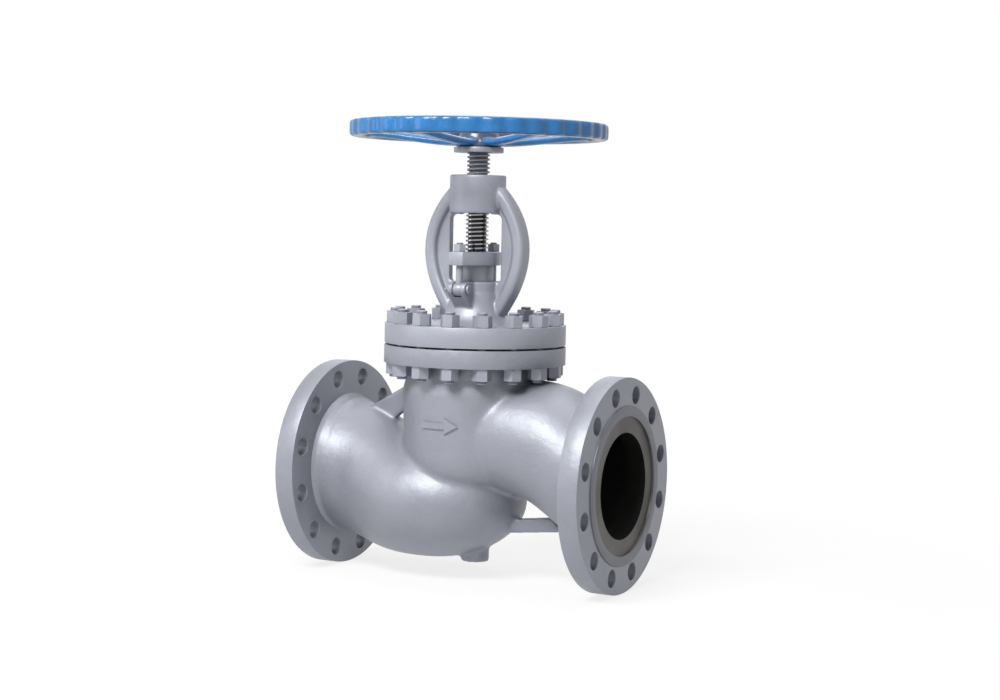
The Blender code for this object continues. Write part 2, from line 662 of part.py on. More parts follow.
def body():
    """The body casting, hollow from end to end through the seat."""
    inlet_flange = move(pipe_flange(), Matrix.Translation((-FLANGE_BACK, 0, 0)) @ Z_TO_X.inverted())
    outlet_flange = move(pipe_flange(), Matrix.Translation((FLANGE_BACK, 0, 0)) @ Z_TO_X)
    boss_root = BOTTOM_BOSS_FACE + BOTTOM_BOSS_ROOT
    casting = join(chamber(), branch(outer_size, BRANCH_SIDES),
                   move(branch(outer_size, BRANCH_SIDES), HALF_TURN_ABOUT_Y),
                   inlet_flange, outlet_flange, upper_rib(), lower_rib(),
                   rod(BOTTOM_BOSS_RADIUS, BOTTOM_BOSS_FACE, boss_root, SMALL_STEPS))
    cut(casting, flow_passage(), move(flow_passage(), HALF_TURN_ABOUT_Y),
        rod(CHAMBER_BORE_RADIUS, BRIDGE_HALF_THICKNESS, TOP_FLANGE_TOP, LARGE_STEPS),
        rod(SEAT_RING_RADIUS + FIT, -2 * BRIDGE_HALF_THICKNESS, 2 * BRIDGE_HALF_THICKNESS, LARGE_STEPS),
        stud_holes(TOP_FLANGE_BOTTOM, TOP_FLANGE_TOP))
    return finish(weld(casting), "body", PAINTED_CASTING)


def seat_ring():
    """The ring in the bridge wall that the disc closes on."""
    bottom = -BRIDGE_HALF_THICKNESS
    lip_bottom = BRIDGE_HALF_THICKNESS + FIT
    ring = turned([(SEAT_BORE_RADIUS, bottom), (SEAT_RING_RADIUS, bottom), (SEAT_RING_RADIUS, lip_bottom),
                   (SEAT_RING_LIP_RADIUS, lip_bottom), (SEAT_RING_LIP_RADIUS, SEAT_FACE - SEAT_RING_LAND),
                   (SEAT_RING_LIP_RADIUS - SEAT_RING_LAND, SEAT_FACE), (SEAT_BORE_RADIUS, SEAT_FACE)],
                  LARGE_STEPS)
    return finish(ring, "seat_ring", SEAT_ALLOY)


def disc():
    """The plug: a seating face, a nose that guides it into the ring, and a boss with the stem's socket."""
    nose = SEAT_BORE_RADIUS - DISC_NOSE_CLEARANCE
    nose_end = DISC_BOTTOM - DISC_NOSE_DEPTH
    thread = DISC_NUT_RADIUS + FIT
    thread_end = DISC_NUT_BOTTOM - FIT
    socket = STEM_HEAD_RADIUS + RUNNING_FIT
    plug = turned([(0, nose_end), (nose - DISC_CHAMFER, nose_end), (nose, nose_end + DISC_CHAMFER),
                   (nose, DISC_BOTTOM), (DISC_RADIUS, DISC_BOTTOM), (DISC_RADIUS, DISC_TOP - DISC_CHAMFER),
                   (DISC_RADIUS - DISC_CHAMFER, DISC_TOP), (DISC_BOSS_RADIUS + DISC_BOSS_FILLET, DISC_TOP),
                   (DISC_BOSS_RADIUS, DISC_TOP + DISC_BOSS_FILLET), (DISC_BOSS_RADIUS, DISC_BOSS_TOP),
                   (thread, DISC_BOSS_TOP), (thread, thread_end), (socket, thread_end),
                   (socket, DISC_SOCKET_FLOOR), (0, DISC_SOCKET_FLOOR)], MEDIUM_STEPS)
    return finish(plug, "disc", SEAT_ALLOY, SEAT_FACE)


def disc_nut():
    """The nut screwed into the disc's boss over the stem's head."""
    hex_bottom = DISC_BOSS_TOP + FIT
    hex_top = hex_bottom + DISC_NUT_HEX_HEIGHT
    nut = rod(DISC_NUT_RADIUS, DISC_NUT_BOTTOM, hex_bottom + OVERLAP, MEDIUM_STEPS)
    join(nut, hexagon(2 * (DISC_NUT_RADIUS - DISC_NUT_HEX_STEP), hex_bottom, hex_top))
    cut(nut, rod(STEM_BORE_RADIUS, DISC_NUT_BOTTOM - OVERLAP, hex_top + OVERLAP, SMALL_STEPS))
    return finish(weld(nut), "disc_nut", BARE_STEEL, DISC_NUT_BOTTOM)


def stem():
    """The stem, from its head in the disc to the seat of the wheel."""
    head_bottom = DISC_SOCKET_FLOOR + FIT
    head_top = DISC_NUT_BOTTOM - 2 * FIT
    collar_bottom = STEM_COLLAR_TOP - STEM_COLLAR_HEIGHT
    bar = turned([(0, head_bottom), (STEM_HEAD_RADIUS - STEM_CHAMFER, head_bottom),
                  (STEM_HEAD_RADIUS, head_bottom + STEM_CHAMFER), (STEM_HEAD_RADIUS, head_top),
                  (STEM_RADIUS, head_top), (STEM_RADIUS, collar_bottom),
                  (STEM_COLLAR_RADIUS, collar_bottom + STEM_CHAMFER),
                  (STEM_COLLAR_RADIUS, STEM_COLLAR_TOP - BACK_SEAT_CONE), (STEM_RADIUS, STEM_COLLAR_TOP),
                  (STEM_RADIUS, STEM_SHOULDER), (WHEEL_SEAT_RADIUS, STEM_SHOULDER),
                  (WHEEL_SEAT_RADIUS, STEM_TOP - STEM_END / 2), (WHEEL_SEAT_RADIUS - STEM_END / 2, STEM_TOP),
                  (0, STEM_TOP)], SMALL_STEPS)
    cut(bar, key_block(FIT))
    return finish(weld(bar), "stem", BARE_STEEL, DISC_SOCKET_FLOOR)


def key_block(clearance):
    """The box of the wheel's key, half in the stem and half in the hub, grown by a clearance."""
    half_width = KEY_WIDTH / 2 + clearance
    half_height = KEY_HEIGHT / 2 + clearance
    return block((WHEEL_SEAT_RADIUS - half_height, -half_width, WHEEL_HUB_BOTTOM + FIT - clearance),
                 (WHEEL_SEAT_RADIUS + half_height, half_width, WHEEL_HUB_TOP + clearance))


def wheel_key():
    """The key between the stem and the wheel."""
    return finish(key_block(0), "wheel_key", BARE_STEEL, WHEEL_HUB_BOTTOM)


def bonnet_gasket():
    """The ring squeezed between the body and the bonnet's spigot."""
    ring = tube(SPIGOT_RADIUS, SPIGOT_BORE_RADIUS, GASKET_BOTTOM, GASKET_BOTTOM + GASKET_THICKNESS, LARGE_STEPS)
    return finish(ring, "bonnet_gasket", GRAPHITE, GASKET_BOTTOM)


def bonnet_shell():
    """The turned outside of the bonnet: spigot, flange, hollowed neck and stuffing box."""
    neck_top = STUFFING_BOX_TOP - STUFFING_BOX_COLLAR
    neck = bezier_points(((NECK_FOOT_RADIUS, BONNET_FLANGE_TOP), (NECK_WAIST_RADIUS, BONNET_FLANGE_TOP),
                          (NECK_WAIST_RADIUS, neck_top), (STUFFING_BOX_RADIUS, neck_top)), NECK_STATIONS)
    chamfer = TOP_FLANGE_CHAMFER
    return turned([(0, SPIGOT_FACE), (SPIGOT_RADIUS, SPIGOT_FACE), (SPIGOT_RADIUS, BONNET_FLANGE_BOTTOM),
                   (BONNET_FLANGE_RADIUS - chamfer, BONNET_FLANGE_BOTTOM),
                   (BONNET_FLANGE_RADIUS, BONNET_FLANGE_BOTTOM + chamfer),
                   (BONNET_FLANGE_RADIUS, BONNET_FLANGE_TOP - chamfer),
                   (BONNET_FLANGE_RADIUS - chamfer, BONNET_FLANGE_TOP)] + neck
                  + [(STUFFING_BOX_RADIUS, STUFFING_BOX_TOP), (0, STUFFING_BOX_TOP)], LARGE_STEPS)


def bonnet_hollow():
    """Cutter for the roof over the chamber, the bush's bore and the stuffing box."""
    bush = BUSH_RADIUS + FIT
    box = STUFFING_BOX_BORE_RADIUS
    return turned([(0, SPIGOT_FACE - OVERLAP), (SPIGOT_BORE_RADIUS, SPIGOT_FACE - OVERLAP),
                   (SPIGOT_BORE_RADIUS, SPIGOT_FACE), (SPIGOT_BORE_RADIUS - BONNET_ROOF_CORNER, BONNET_ROOF),
                   (bush, BONNET_ROOF), (bush, STUFFING_BOX_FLOOR), (box, STUFFING_BOX_FLOOR),
                   (box, STUFFING_BOX_TOP + OVERLAP), (0, STUFFING_BOX_TOP + OVERLAP)], LARGE_STEPS)


def yoke_curve():
    """The curve that the right-hand arm follows, from the neck up to the hub."""
    foot = BONNET_FLANGE_TOP + YOKE_ARM_FOOT_HEIGHT
    top = YOKE_HUB_TOP - YOKE_ARM_TOP_DROP
    pulls = [(reach, foot + (top - foot) * share) for reach, share in (YOKE_ARM_LOWER_PULL, YOKE_ARM_UPPER_PULL)]
    return (YOKE_ARM_FOOT_REACH, foot), *pulls, (YOKE_ARM_TOP_REACH, top)


def yoke_arm():
    """The rounded rib of the right-hand arm."""
    rings = []
    for station in range(ARM_STATIONS + 1):
        place, direction = bezier(yoke_curve(), station / ARM_STATIONS)
        rings.append((place, direction, YOKE_ARM_HALF_DEPTH, YOKE_ARM_HALF_WIDTH))
    return loft(rings, ARM_SIDES)


def yoke_web():
    """The flat web between the two ribs, with the window for the gland and the stem."""
    side = bezier_points(yoke_curve(), ARM_STATIONS)
    web = plate(side + [(-x, z) for x, z in reversed(side)], YOKE_WEB_THICKNESS / 2)
    corner = YOKE_WINDOW_CORNER
    x = STUFFING_BOX_RADIUS + YOKE_WINDOW_MARGIN - corner
    low = STUFFING_BOX_TOP - YOKE_WINDOW_EDGE + corner
    high = YOKE_HUB_BOTTOM - YOKE_WINDOW_EDGE - corner
    window = []
    for quarter, centre in enumerate(((x, high), (-x, high), (-x, low), (x, low))):
        window += arc(centre, corner, 90 * quarter, 90 * quarter + 90, CORNER_STEPS)
    return cut(web, plate(window, YOKE_WEB_THICKNESS))


def yoke_hub():
    """The round hub on top of the yoke, before its bore."""
    edge = arc((YOKE_HUB_RADIUS - YOKE_HUB_ROUNDING, YOKE_HUB_TOP - YOKE_HUB_ROUNDING), YOKE_HUB_ROUNDING, 0, 90, 2)
    return turned([(0, YOKE_HUB_BOTTOM), (YOKE_HUB_RADIUS, YOKE_HUB_BOTTOM)] + edge + [(0, YOKE_HUB_TOP)],
                  MEDIUM_STEPS)


def yoke_nut_seat():
    """Cutter for the yoke nut's stepped bore, open at both ends of the hub."""
    body_radius = YOKE_NUT_RADIUS + FIT
    lip_radius = YOKE_NUT_LIP_RADIUS + FIT
    step = YOKE_HUB_BOTTOM + YOKE_NUT_LIP_HEIGHT + FIT
    return turned([(0, YOKE_HUB_BOTTOM - OVERLAP), (lip_radius, YOKE_HUB_BOTTOM - OVERLAP), (lip_radius, step),
                   (body_radius, step), (body_radius, YOKE_HUB_TOP + OVERLAP), (0, YOKE_HUB_TOP + OVERLAP)],
                  MEDIUM_STEPS)


def eyebolt_lug():
    """The forked lug for the front eyebolt, with its slot and pin hole."""
    inside = -STUFFING_BOX_BORE_RADIUS
    outline = [(inside, EYE_PIN_HEIGHT + LUG_RADIUS)]
    outline += arc((-EYEBOLT_REACH, EYE_PIN_HEIGHT), LUG_RADIUS, 90, 225, SMALL_STEPS // 2)
    outline += [(-NECK_WAIST_RADIUS + LUG_ROOT, EYE_PIN_HEIGHT - LUG_DEPTH), (inside, EYE_PIN_HEIGHT - LUG_DEPTH)]
    lug = move(plate(outline, LUG_HALF_WIDTH), X_TO_Y)
    reach = EYE_RADIUS + 2 * RUNNING_FIT
    slot = block((-LUG_SLOT_HALF_WIDTH, -EYEBOLT_REACH - 2 * LUG_RADIUS, EYE_PIN_HEIGHT - reach - FIT),
                 (LUG_SLOT_HALF_WIDTH, -EYEBOLT_REACH + reach, EYE_PIN_HEIGHT + 2 * LUG_RADIUS))
    hole = move(rod(EYE_PIN_RADIUS + FIT, -2 * LUG_HALF_WIDTH, 2 * LUG_HALF_WIDTH, HOLE_STEPS),
                Matrix.Translation((0, -EYEBOLT_REACH, EYE_PIN_HEIGHT)) @ Z_TO_X)
    return cut(lug, slot, hole)


def bonnet_yoke():
    """The bonnet casting with its yoke."""
    casting = join(bonnet_shell(), yoke_web(), yoke_arm(), move(yoke_arm(), HALF_TURN_ABOUT_Z), yoke_hub(),
                   eyebolt_lug(), move(eyebolt_lug(), HALF_TURN_ABOUT_Z))
    cut(casting, bonnet_hollow(), yoke_nut_seat(),
        screw_bar(YOKE_SCREW_RADIUS + FIT, YOKE_NUT_RADIUS - OVERLAP, YOKE_HUB_RADIUS + OVERLAP),
        stud_holes(BONNET_FLANGE_BOTTOM, BONNET_FLANGE_TOP))
    return finish(weld(casting), "bonnet_yoke", PAINTED_CASTING, BONNET_FLANGE_BOTTOM)


def screw_bar(radius, inner, outer):
    """A round bar through the back of the hub, at the yoke nut's lock screw."""
    return move(rod(radius, inner, outer, HOLE_STEPS), Matrix.Translation((0, 0, YOKE_SCREW_HEIGHT)) @ Z_TO_BACK)


def yoke_nut():
    """The bronze nut in the hub that the stem's thread runs in."""
    lip_top = YOKE_HUB_BOTTOM + YOKE_NUT_LIP_HEIGHT
    top = YOKE_HUB_TOP - FIT
    nut = turned([(STEM_BORE_RADIUS, YOKE_HUB_BOTTOM), (YOKE_NUT_LIP_RADIUS, YOKE_HUB_BOTTOM),
                  (YOKE_NUT_LIP_RADIUS, lip_top), (YOKE_NUT_RADIUS, lip_top), (YOKE_NUT_RADIUS, top),
                  (STEM_BORE_RADIUS, top)], MEDIUM_STEPS)
    return finish(nut, "yoke_nut", BRONZE, YOKE_HUB_BOTTOM)


def yoke_nut_screw():
    """The screw through the hub that keeps the yoke nut from turning."""
    screw = screw_bar(YOKE_SCREW_RADIUS, YOKE_NUT_RADIUS + FIT, YOKE_HUB_RADIUS - FIT)
    return finish(screw, "yoke_nut_screw", BARE_STEEL, YOKE_SCREW_HEIGHT)


def back_seat_bush():
    """The bush in the bonnet that the stem's collar seats on when the valve is wide open."""
    bush = turned([(STEM_BORE_RADIUS + BUSH_MOUTH, BUSH_LIP_BOTTOM), (BUSH_LIP_RADIUS, BUSH_LIP_BOTTOM),
                   (BUSH_LIP_RADIUS, BONNET_ROOF - FIT), (BUSH_RADIUS, BONNET_ROOF - FIT),
                   (BUSH_RADIUS, STUFFING_BOX_FLOOR - FIT), (STEM_BORE_RADIUS, STUFFING_BOX_FLOOR - FIT),
                   (STEM_BORE_RADIUS, BUSH_LIP_BOTTOM + BUSH_MOUTH)], SMALL_STEPS)
    return finish(bush, "back_seat_bush", SEAT_ALLOY, BUSH_LIP_BOTTOM)


def packing_rings():
    """The stack of rings in the stuffing box, which share one mesh."""
    ring = tube(PACKING_RADIUS, STEM_BORE_RADIUS, 0, PACKING_HEIGHT, SMALL_STEPS)
    rings = [finish(ring, "packing_ring_1", GRAPHITE)]
    rings += [repeat(ring, f"packing_ring_{number + 1}") for number in range(1, PACKING_COUNT)]
    for number, ring in enumerate(rings):
        ring.location.z = STUFFING_BOX_FLOOR + number * (PACKING_HEIGHT + FIT)
    return rings


def gland_follower():
    """The sleeve that presses on the packing."""
    sleeve = tube(FOLLOWER_RADIUS, STEM_BORE_RADIUS, FOLLOWER_BOTTOM, GLAND_BOTTOM - FIT, SMALL_STEPS)
    return finish(sleeve, "gland_follower", PAINTED_STEEL, FOLLOWER_BOTTOM)


def gland_outline():
    """The gland's outline in plan: narrow ends at the eyebolts and a rounded middle."""
    end_half_width = GLAND_HOLE_RADIUS + GLAND_HOLE_WALL
    end = EYEBOLT_REACH + GLAND_END
    waist = arc((0, 0), GLAND_HALF_WIDTH, -GLAND_WAIST_ANGLE, GLAND_WAIST_ANGLE, CORNER_STEPS)
    right = [(end_half_width, -end)] + waist + [(end_half_width, end)]
    return right + [(-x, -y) for x, y in right]


def gland_hole(reach):
    """Cutter for an eyebolt's hole through one end of the gland."""
    hole = rod(GLAND_HOLE_RADIUS, GLAND_BOTTOM - OVERLAP, GLAND_TOP + OVERLAP, SMALL_STEPS)
    return move(hole, Matrix.Translation((0, reach, 0)))


def gland_flange():
    """The long plate over the follower, with a hole at each end for an eyebolt."""
    middle = Matrix.Translation((0, 0, (GLAND_BOTTOM + GLAND_TOP) / 2))
    flange = move(plate(gland_outline(), GLAND_THICKNESS / 2), middle @ Z_TO_FRONT)
    cut(flange, rod(STEM_BORE_RADIUS, GLAND_BOTTOM - OVERLAP, GLAND_TOP + OVERLAP, SMALL_STEPS),
        gland_hole(EYEBOLT_REACH), gland_hole(-EYEBOLT_REACH))
    return finish(weld(flange), "gland_flange", PAINTED_STEEL, GLAND_BOTTOM)


def eyebolt():
    """An eyebolt about its pin: a flat-sided eye, and a shank up through the gland's hole."""
    shank_top = GLAND_TOP + FIT + GLAND_NUT_HEIGHT + EYEBOLT_END - EYE_PIN_HEIGHT
    bolt = move(rod(EYE_RADIUS, -EYE_HALF_WIDTH, EYE_HALF_WIDTH, SMALL_STEPS), Z_TO_X)
    join(bolt, rod(EYEBOLT_RADIUS - FIT, 0, shank_top, SMALL_STEPS))
    return weld(cut(bolt, move(rod(EYE_PIN_RADIUS + FIT, -EYE_RADIUS, EYE_RADIUS, HOLE_STEPS), Z_TO_X)))


def eyebolt_pin():
    """The headed pin through a lug and its eye, about its own middle."""
    ear = LUG_HALF_WIDTH + FIT
    pin = rod(EYE_PIN_RADIUS, -ear - EYE_PIN_HEAD_HEIGHT, ear + EYE_PIN_HEAD_HEIGHT / 2, HOLE_STEPS)
    head = rod(EYE_PIN_RADIUS + EYE_PIN_HEAD_STEP, ear, ear + EYE_PIN_HEAD_HEIGHT, SMALL_STEPS)
    return weld(move(join(pin, head), Z_TO_X))


def gland_nut():
    """The nut that pulls one end of the gland down, at its height above the eyebolt's pin."""
    bottom = GLAND_TOP + FIT - EYE_PIN_HEIGHT
    top = bottom + GLAND_NUT_HEIGHT
    nut = hexagon(GLAND_NUT_ACROSS_FLATS, bottom, top)
    return weld(cut(nut, rod(EYEBOLT_RADIUS, bottom - OVERLAP, top + OVERLAP, SMALL_STEPS)))


def gland_bolts(parent):
    """The front and back eyebolts with their pins and nuts, each pair sharing its meshes."""
    front = pivot("gland_bolt_front", (0, -EYEBOLT_REACH, EYE_PIN_HEIGHT), 0.0, parent)
    back = pivot("gland_bolt_back", (0, EYEBOLT_REACH, EYE_PIN_HEIGHT), math.pi, parent)
    for name, shape in (("eyebolt", eyebolt()), ("eyebolt_pin", eyebolt_pin()), ("gland_nut", gland_nut())):
        piece = finish(shape, f"{name}_front", PAINTED_STEEL)
        hang(front, piece)
        hang(back, repeat(piece, f"{name}_back"))


def stud_and_nuts():
    """A bonnet stud with its two nuts, about the stud's own axis."""
    low_nut_top = TOP_FLANGE_BOTTOM - FIT
    high_nut_bottom = BONNET_FLANGE_TOP + FIT
    bottom = low_nut_top - STUD_NUT_HEIGHT
    top = high_nut_bottom + STUD_NUT_HEIGHT
    stud = rod(STUD_RADIUS, bottom - STUD_END, top + STUD_END, HEX_STEPS, math.radians(30))
    join(stud, hexagon(STUD_NUT_ACROSS_FLATS, bottom, low_nut_top),
         hexagon(STUD_NUT_ACROSS_FLATS, high_nut_bottom, top))
    return weld(stud)


def bonnet_studs():
    """The studs of the bonnet joint, evenly spaced, straddling the pipe axis and sharing one mesh."""
    first = finish(stud_and_nuts(), "bonnet_stud_01", PAINTED_STEEL, TOP_FLANGE_TOP)
    studs = [first] + [repeat(first, f"bonnet_stud_{number + 1:02d}") for number in range(1, STUD_COUNT)]
    for number, stud in enumerate(studs):
        angle = 2 * math.pi * (number + 0.5) / STUD_COUNT
        stud.location = (STUD_CIRCLE_RADIUS * math.cos(angle), STUD_CIRCLE_RADIUS * math.sin(angle), TOP_FLANGE_TOP)
        stud.rotation_euler.z = angle + math.radians(30)
    return studs


def wheel_rim():
    """The scalloped rim: a turned ring whose outer half is pulled in between the grips."""
    half_width = WHEEL_RIM_WIDTH / 2
    middle = WHEEL_RADIUS - half_width
    section = [(middle + half_width * x, WHEEL_RIM_MIDDLE + WHEEL_RIM_HEIGHT / 2 * z) for x, z in WHEEL_RIM_SECTION]
    rim = turned(section, WHEEL_BUMPS * STEPS_PER_BUMP)
    for vertex in rim.data.vertices:
        radius = math.hypot(vertex.co.x, vertex.co.y)
        angle = math.atan2(vertex.co.y, vertex.co.x)
        step = round(angle / (2 * math.pi) * WHEEL_BUMPS * STEPS_PER_BUMP)
        if radius > middle and step % STEPS_PER_BUMP == 0:
            share = (radius - middle) / half_width
            scale = 1 - WHEEL_BUMP_DEPTH * share / radius
            vertex.co.x *= scale
            vertex.co.y *= scale
    return rim


def wheel_spoke():
    """One spoke along +X, flat at the hub and rising to the rim."""
    start = WHEEL_HUB_RADIUS - SPOKE_ROOT
    end = WHEEL_RADIUS - WHEEL_RIM_WIDTH + SPOKE_ROOT
    low = WHEEL_HUB_BOTTOM + SPOKE_HUB_RISE
    high = WHEEL_RIM_MIDDLE - SPOKE_RIM_DROP
    curve = ((start, low), (start + SPOKE_HUB_LEAD, low - SPOKE_DISH),
             (end - SPOKE_RIM_LEAD, high - SPOKE_DISH), (end, high))
    rings = []
    for station in range(SPOKE_STATIONS + 1):
        t = station / SPOKE_STATIONS
        place, direction = bezier(curve, t)
        half_width = SPOKE_HALF_WIDTH - SPOKE_WAIST * math.sin(math.pi * t)
        rings.append((place, direction, SPOKE_HALF_THICKNESS, half_width))
    return loft(rings, SPOKE_SIDES)


def handwheel():
    """The wheel: rim, spokes and hub in one casting."""
    wheel = turned([(0, WHEEL_HUB_BOTTOM), (WHEEL_HUB_RADIUS + WHEEL_HUB_TAPER, WHEEL_HUB_BOTTOM),
                    (WHEEL_HUB_RADIUS - WHEEL_HUB_TAPER, WHEEL_HUB_TOP), (0, WHEEL_HUB_TOP)], MEDIUM_STEPS)
    for number in range(WHEEL_SPOKES):
        angle = WHEEL_FIRST_SPOKE + 2 * math.pi * number / WHEEL_SPOKES
        join(wheel, move(wheel_spoke(), Matrix.Rotation(angle, 4, "Z")))
    join(wheel, wheel_rim())
    low, high = WHEEL_HUB_BOTTOM - OVERLAP, WHEEL_HUB_TOP + OVERLAP
    keyway = block((0, -KEY_WIDTH / 2 - FIT, low), (WHEEL_SEAT_RADIUS + KEY_HEIGHT / 2 + FIT, KEY_WIDTH / 2 + FIT, high))
    cut(wheel, rod(WHEEL_BORE_RADIUS, low, high, SMALL_STEPS), keyway)
    return finish(weld(wheel), "handwheel", BLUE_ENAMEL, WHEEL_HUB_BOTTOM)


def wheel_plate():
    """The round plate between the stem's shoulder and the wheel."""
    ring = tube(WHEEL_HUB_RADIUS + WHEEL_PLATE_MARGIN, WHEEL_BORE_RADIUS, WHEEL_PLATE_BOTTOM,
                WHEEL_PLATE_BOTTOM + WHEEL_PLATE_THICKNESS, MEDIUM_STEPS)
    return finish(ring, "wheel_plate", PAINTED_STEEL, WHEEL_PLATE_BOTTOM)


def wheel_washer():
    """The washer on top of the wheel's hub."""
    ring = tube(WHEEL_SEAT_RADIUS + WHEEL_WASHER_WIDTH, WHEEL_BORE_RADIUS, WHEEL_WASHER_BOTTOM,
                WHEEL_WASHER_BOTTOM + WHEEL_WASHER_THICKNESS, SMALL_STEPS)
    return finish(ring, "wheel_washer", BARE_STEEL, WHEEL_WASHER_BOTTOM)


def wheel_nut():
    """The nut that holds the wheel down on the stem."""
    top = WHEEL_NUT_BOTTOM + WHEEL_NUT_HEIGHT
    nut = hexagon(WHEEL_NUT_ACROSS_FLATS, WHEEL_NUT_BOTTOM, top)
    cut(nut, rod(WHEEL_BORE_RADIUS, WHEEL_NUT_BOTTOM - OVERLAP, top + OVERLAP, SMALL_STEPS))
    return finish(weld(nut), "wheel_nut", BARE_STEEL, WHEEL_NUT_BOTTOM)


def main():
    """Build every piece, on the body, on the rising disc or on the turning stem."""
    clear_scene()
    valve = pivot("valve")
    lift = pivot("disc_lift", parent=valve)
    turn = pivot("stem_turn", parent=lift)
    hang(valve, body(), seat_ring(), bonnet_gasket(), bonnet_yoke(), back_seat_bush(), *packing_rings(),
         gland_follower(), gland_flange(), yoke_nut(), yoke_nut_screw(), *bonnet_studs())
    gland_bolts(valve)
    hang(lift, disc(), disc_nut())
    hang(turn, stem(), wheel_key(), handwheel(), wheel_plate(), wheel_washer(), wheel_nut())


main()
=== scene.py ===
"""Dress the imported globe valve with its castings, threads, handwheel, paint and studio.

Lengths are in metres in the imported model's own frame: the pipe runs along X and the stem along Z.
"""

import math

import bmesh
import bpy
from bpy.props import FloatProperty, FloatVectorProperty, IntProperty, PointerProperty
from mathutils import Matrix, Vector


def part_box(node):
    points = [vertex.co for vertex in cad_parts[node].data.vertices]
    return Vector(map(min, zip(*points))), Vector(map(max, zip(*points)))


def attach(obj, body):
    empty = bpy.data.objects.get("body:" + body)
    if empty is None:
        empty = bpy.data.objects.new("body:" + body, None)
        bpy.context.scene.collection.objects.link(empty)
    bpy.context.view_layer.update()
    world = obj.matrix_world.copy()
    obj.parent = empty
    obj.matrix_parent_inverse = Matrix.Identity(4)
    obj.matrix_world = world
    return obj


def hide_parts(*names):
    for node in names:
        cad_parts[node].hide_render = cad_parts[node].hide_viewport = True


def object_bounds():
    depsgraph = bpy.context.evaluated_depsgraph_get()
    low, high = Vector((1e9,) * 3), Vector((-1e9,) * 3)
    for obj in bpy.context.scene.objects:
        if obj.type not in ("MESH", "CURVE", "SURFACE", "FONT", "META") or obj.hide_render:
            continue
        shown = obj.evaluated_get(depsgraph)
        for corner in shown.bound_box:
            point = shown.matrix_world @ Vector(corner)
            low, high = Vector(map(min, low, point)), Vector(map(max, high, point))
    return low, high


bl_info = {
    "name": "Globe valve",
    "version": (1, 0, 0),
    "blender": (4, 5, 0),
    "location": "3D View > Sidebar > Valve",
    "description": "Castings, stem thread, handwheel and paint of a flanged globe valve",
    "category": "Object",
}

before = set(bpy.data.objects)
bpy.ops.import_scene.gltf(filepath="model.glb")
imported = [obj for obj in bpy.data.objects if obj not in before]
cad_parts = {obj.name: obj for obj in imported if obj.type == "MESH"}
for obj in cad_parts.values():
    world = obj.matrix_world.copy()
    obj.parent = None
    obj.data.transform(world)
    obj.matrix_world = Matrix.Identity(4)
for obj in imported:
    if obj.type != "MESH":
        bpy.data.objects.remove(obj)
CAD_LOW, CAD_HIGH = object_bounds()

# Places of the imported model
BODY_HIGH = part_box("body")[1]
BONNET_LOW, BONNET_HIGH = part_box("bonnet_yoke")
STUD_LOW, STUD_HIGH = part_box("bonnet_stud_01")
GLAND_LOW, GLAND_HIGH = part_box("gland_flange")
FOLLOWER_LOW, FOLLOWER_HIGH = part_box("gland_follower")
EYEBOLT_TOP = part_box("eyebolt_front")[1].z
GLAND_NUT_LOW, GLAND_NUT_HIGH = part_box("gland_nut_front")
STEM_LOW, STEM_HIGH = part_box("stem")
PLATE_LOW, PLATE_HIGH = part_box("wheel_plate")
WHEEL_LOW, WHEEL_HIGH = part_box("handwheel")
KEY_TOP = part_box("wheel_key")[1].z
WASHER_LOW, WASHER_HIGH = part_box("wheel_washer")
WHEEL_NUT_LOW, WHEEL_NUT_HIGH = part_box("wheel_nut")

# Clearances, and how far shapes that are joined or cut run into each other
FIT = 0.0003
WELD = 0.00001
OVERLAP = 0.004

# Sides of turned shapes, and facets of castings
FLANGE_STEPS = 128
WIDE_STEPS = 96
ROUND_STEPS = 64
BAR_STEPS = 48
EYE_STEPS = 40
PIN_STEPS = 32
BOLT_HOLE_STEPS = 28
HOLE_STEPS = 24
STUD_STEPS = 20
CORE_GRID_SHARE = 1.25
SHARP_ANGLE = math.radians(32)

# Pipe ends
FACE = BODY_HIGH.x
FLANGE_THICKNESS = 0.042
FLANGE_BACK = FACE - FLANGE_THICKNESS
FLANGE_RADIUS = BODY_HIGH.y
FLANGE_BORE = 0.100
RAISED_RADIUS = 0.150
RAISED_HEIGHT = 0.003
RECESS_RADIUS = 0.130
RECESS_DEPTH = 0.0045
BOLT_CIRCLE = 0.1725
BOLT_HOLES = 12
BOLT_HOLE_RADIUS = 0.017

# Cast branches on the inlet side: two pulls of the curve counted from the flange's back, its end in the
# frame, and the half sizes and the reach of the dome that closes it. The outlet's is turned over afterwards.
NECK_RADIUS = 0.131
NECK_ROOT_SINK = 0.003
NECK_ROOT_END = 115
WAIST_HALF_WIDTH = 0.125
INLET_BRANCH = {"lead": (0.065, -0.010), "sweep": (0.122, -0.054), "end": (-0.085, -0.052),
                "half_height": 0.118, "half_width": 0.152, "reach": 0.190}
OUTLET_BRANCH = {"lead": (0.045, -0.020), "sweep": (0.105, -0.072), "end": (-0.103, -0.078),
                 "half_height": 0.112, "half_width": 0.120, "reach": 0.112}
BRANCH_SIDES = 64
BRANCH_STATIONS = 24
DOME_STATIONS = 18
DOME_END = math.radians(87)
WAIST_AT = 0.30
TAPER_FROM = 0.40
PASSAGE_AT = 0.45
CAST_WALL = 0.016

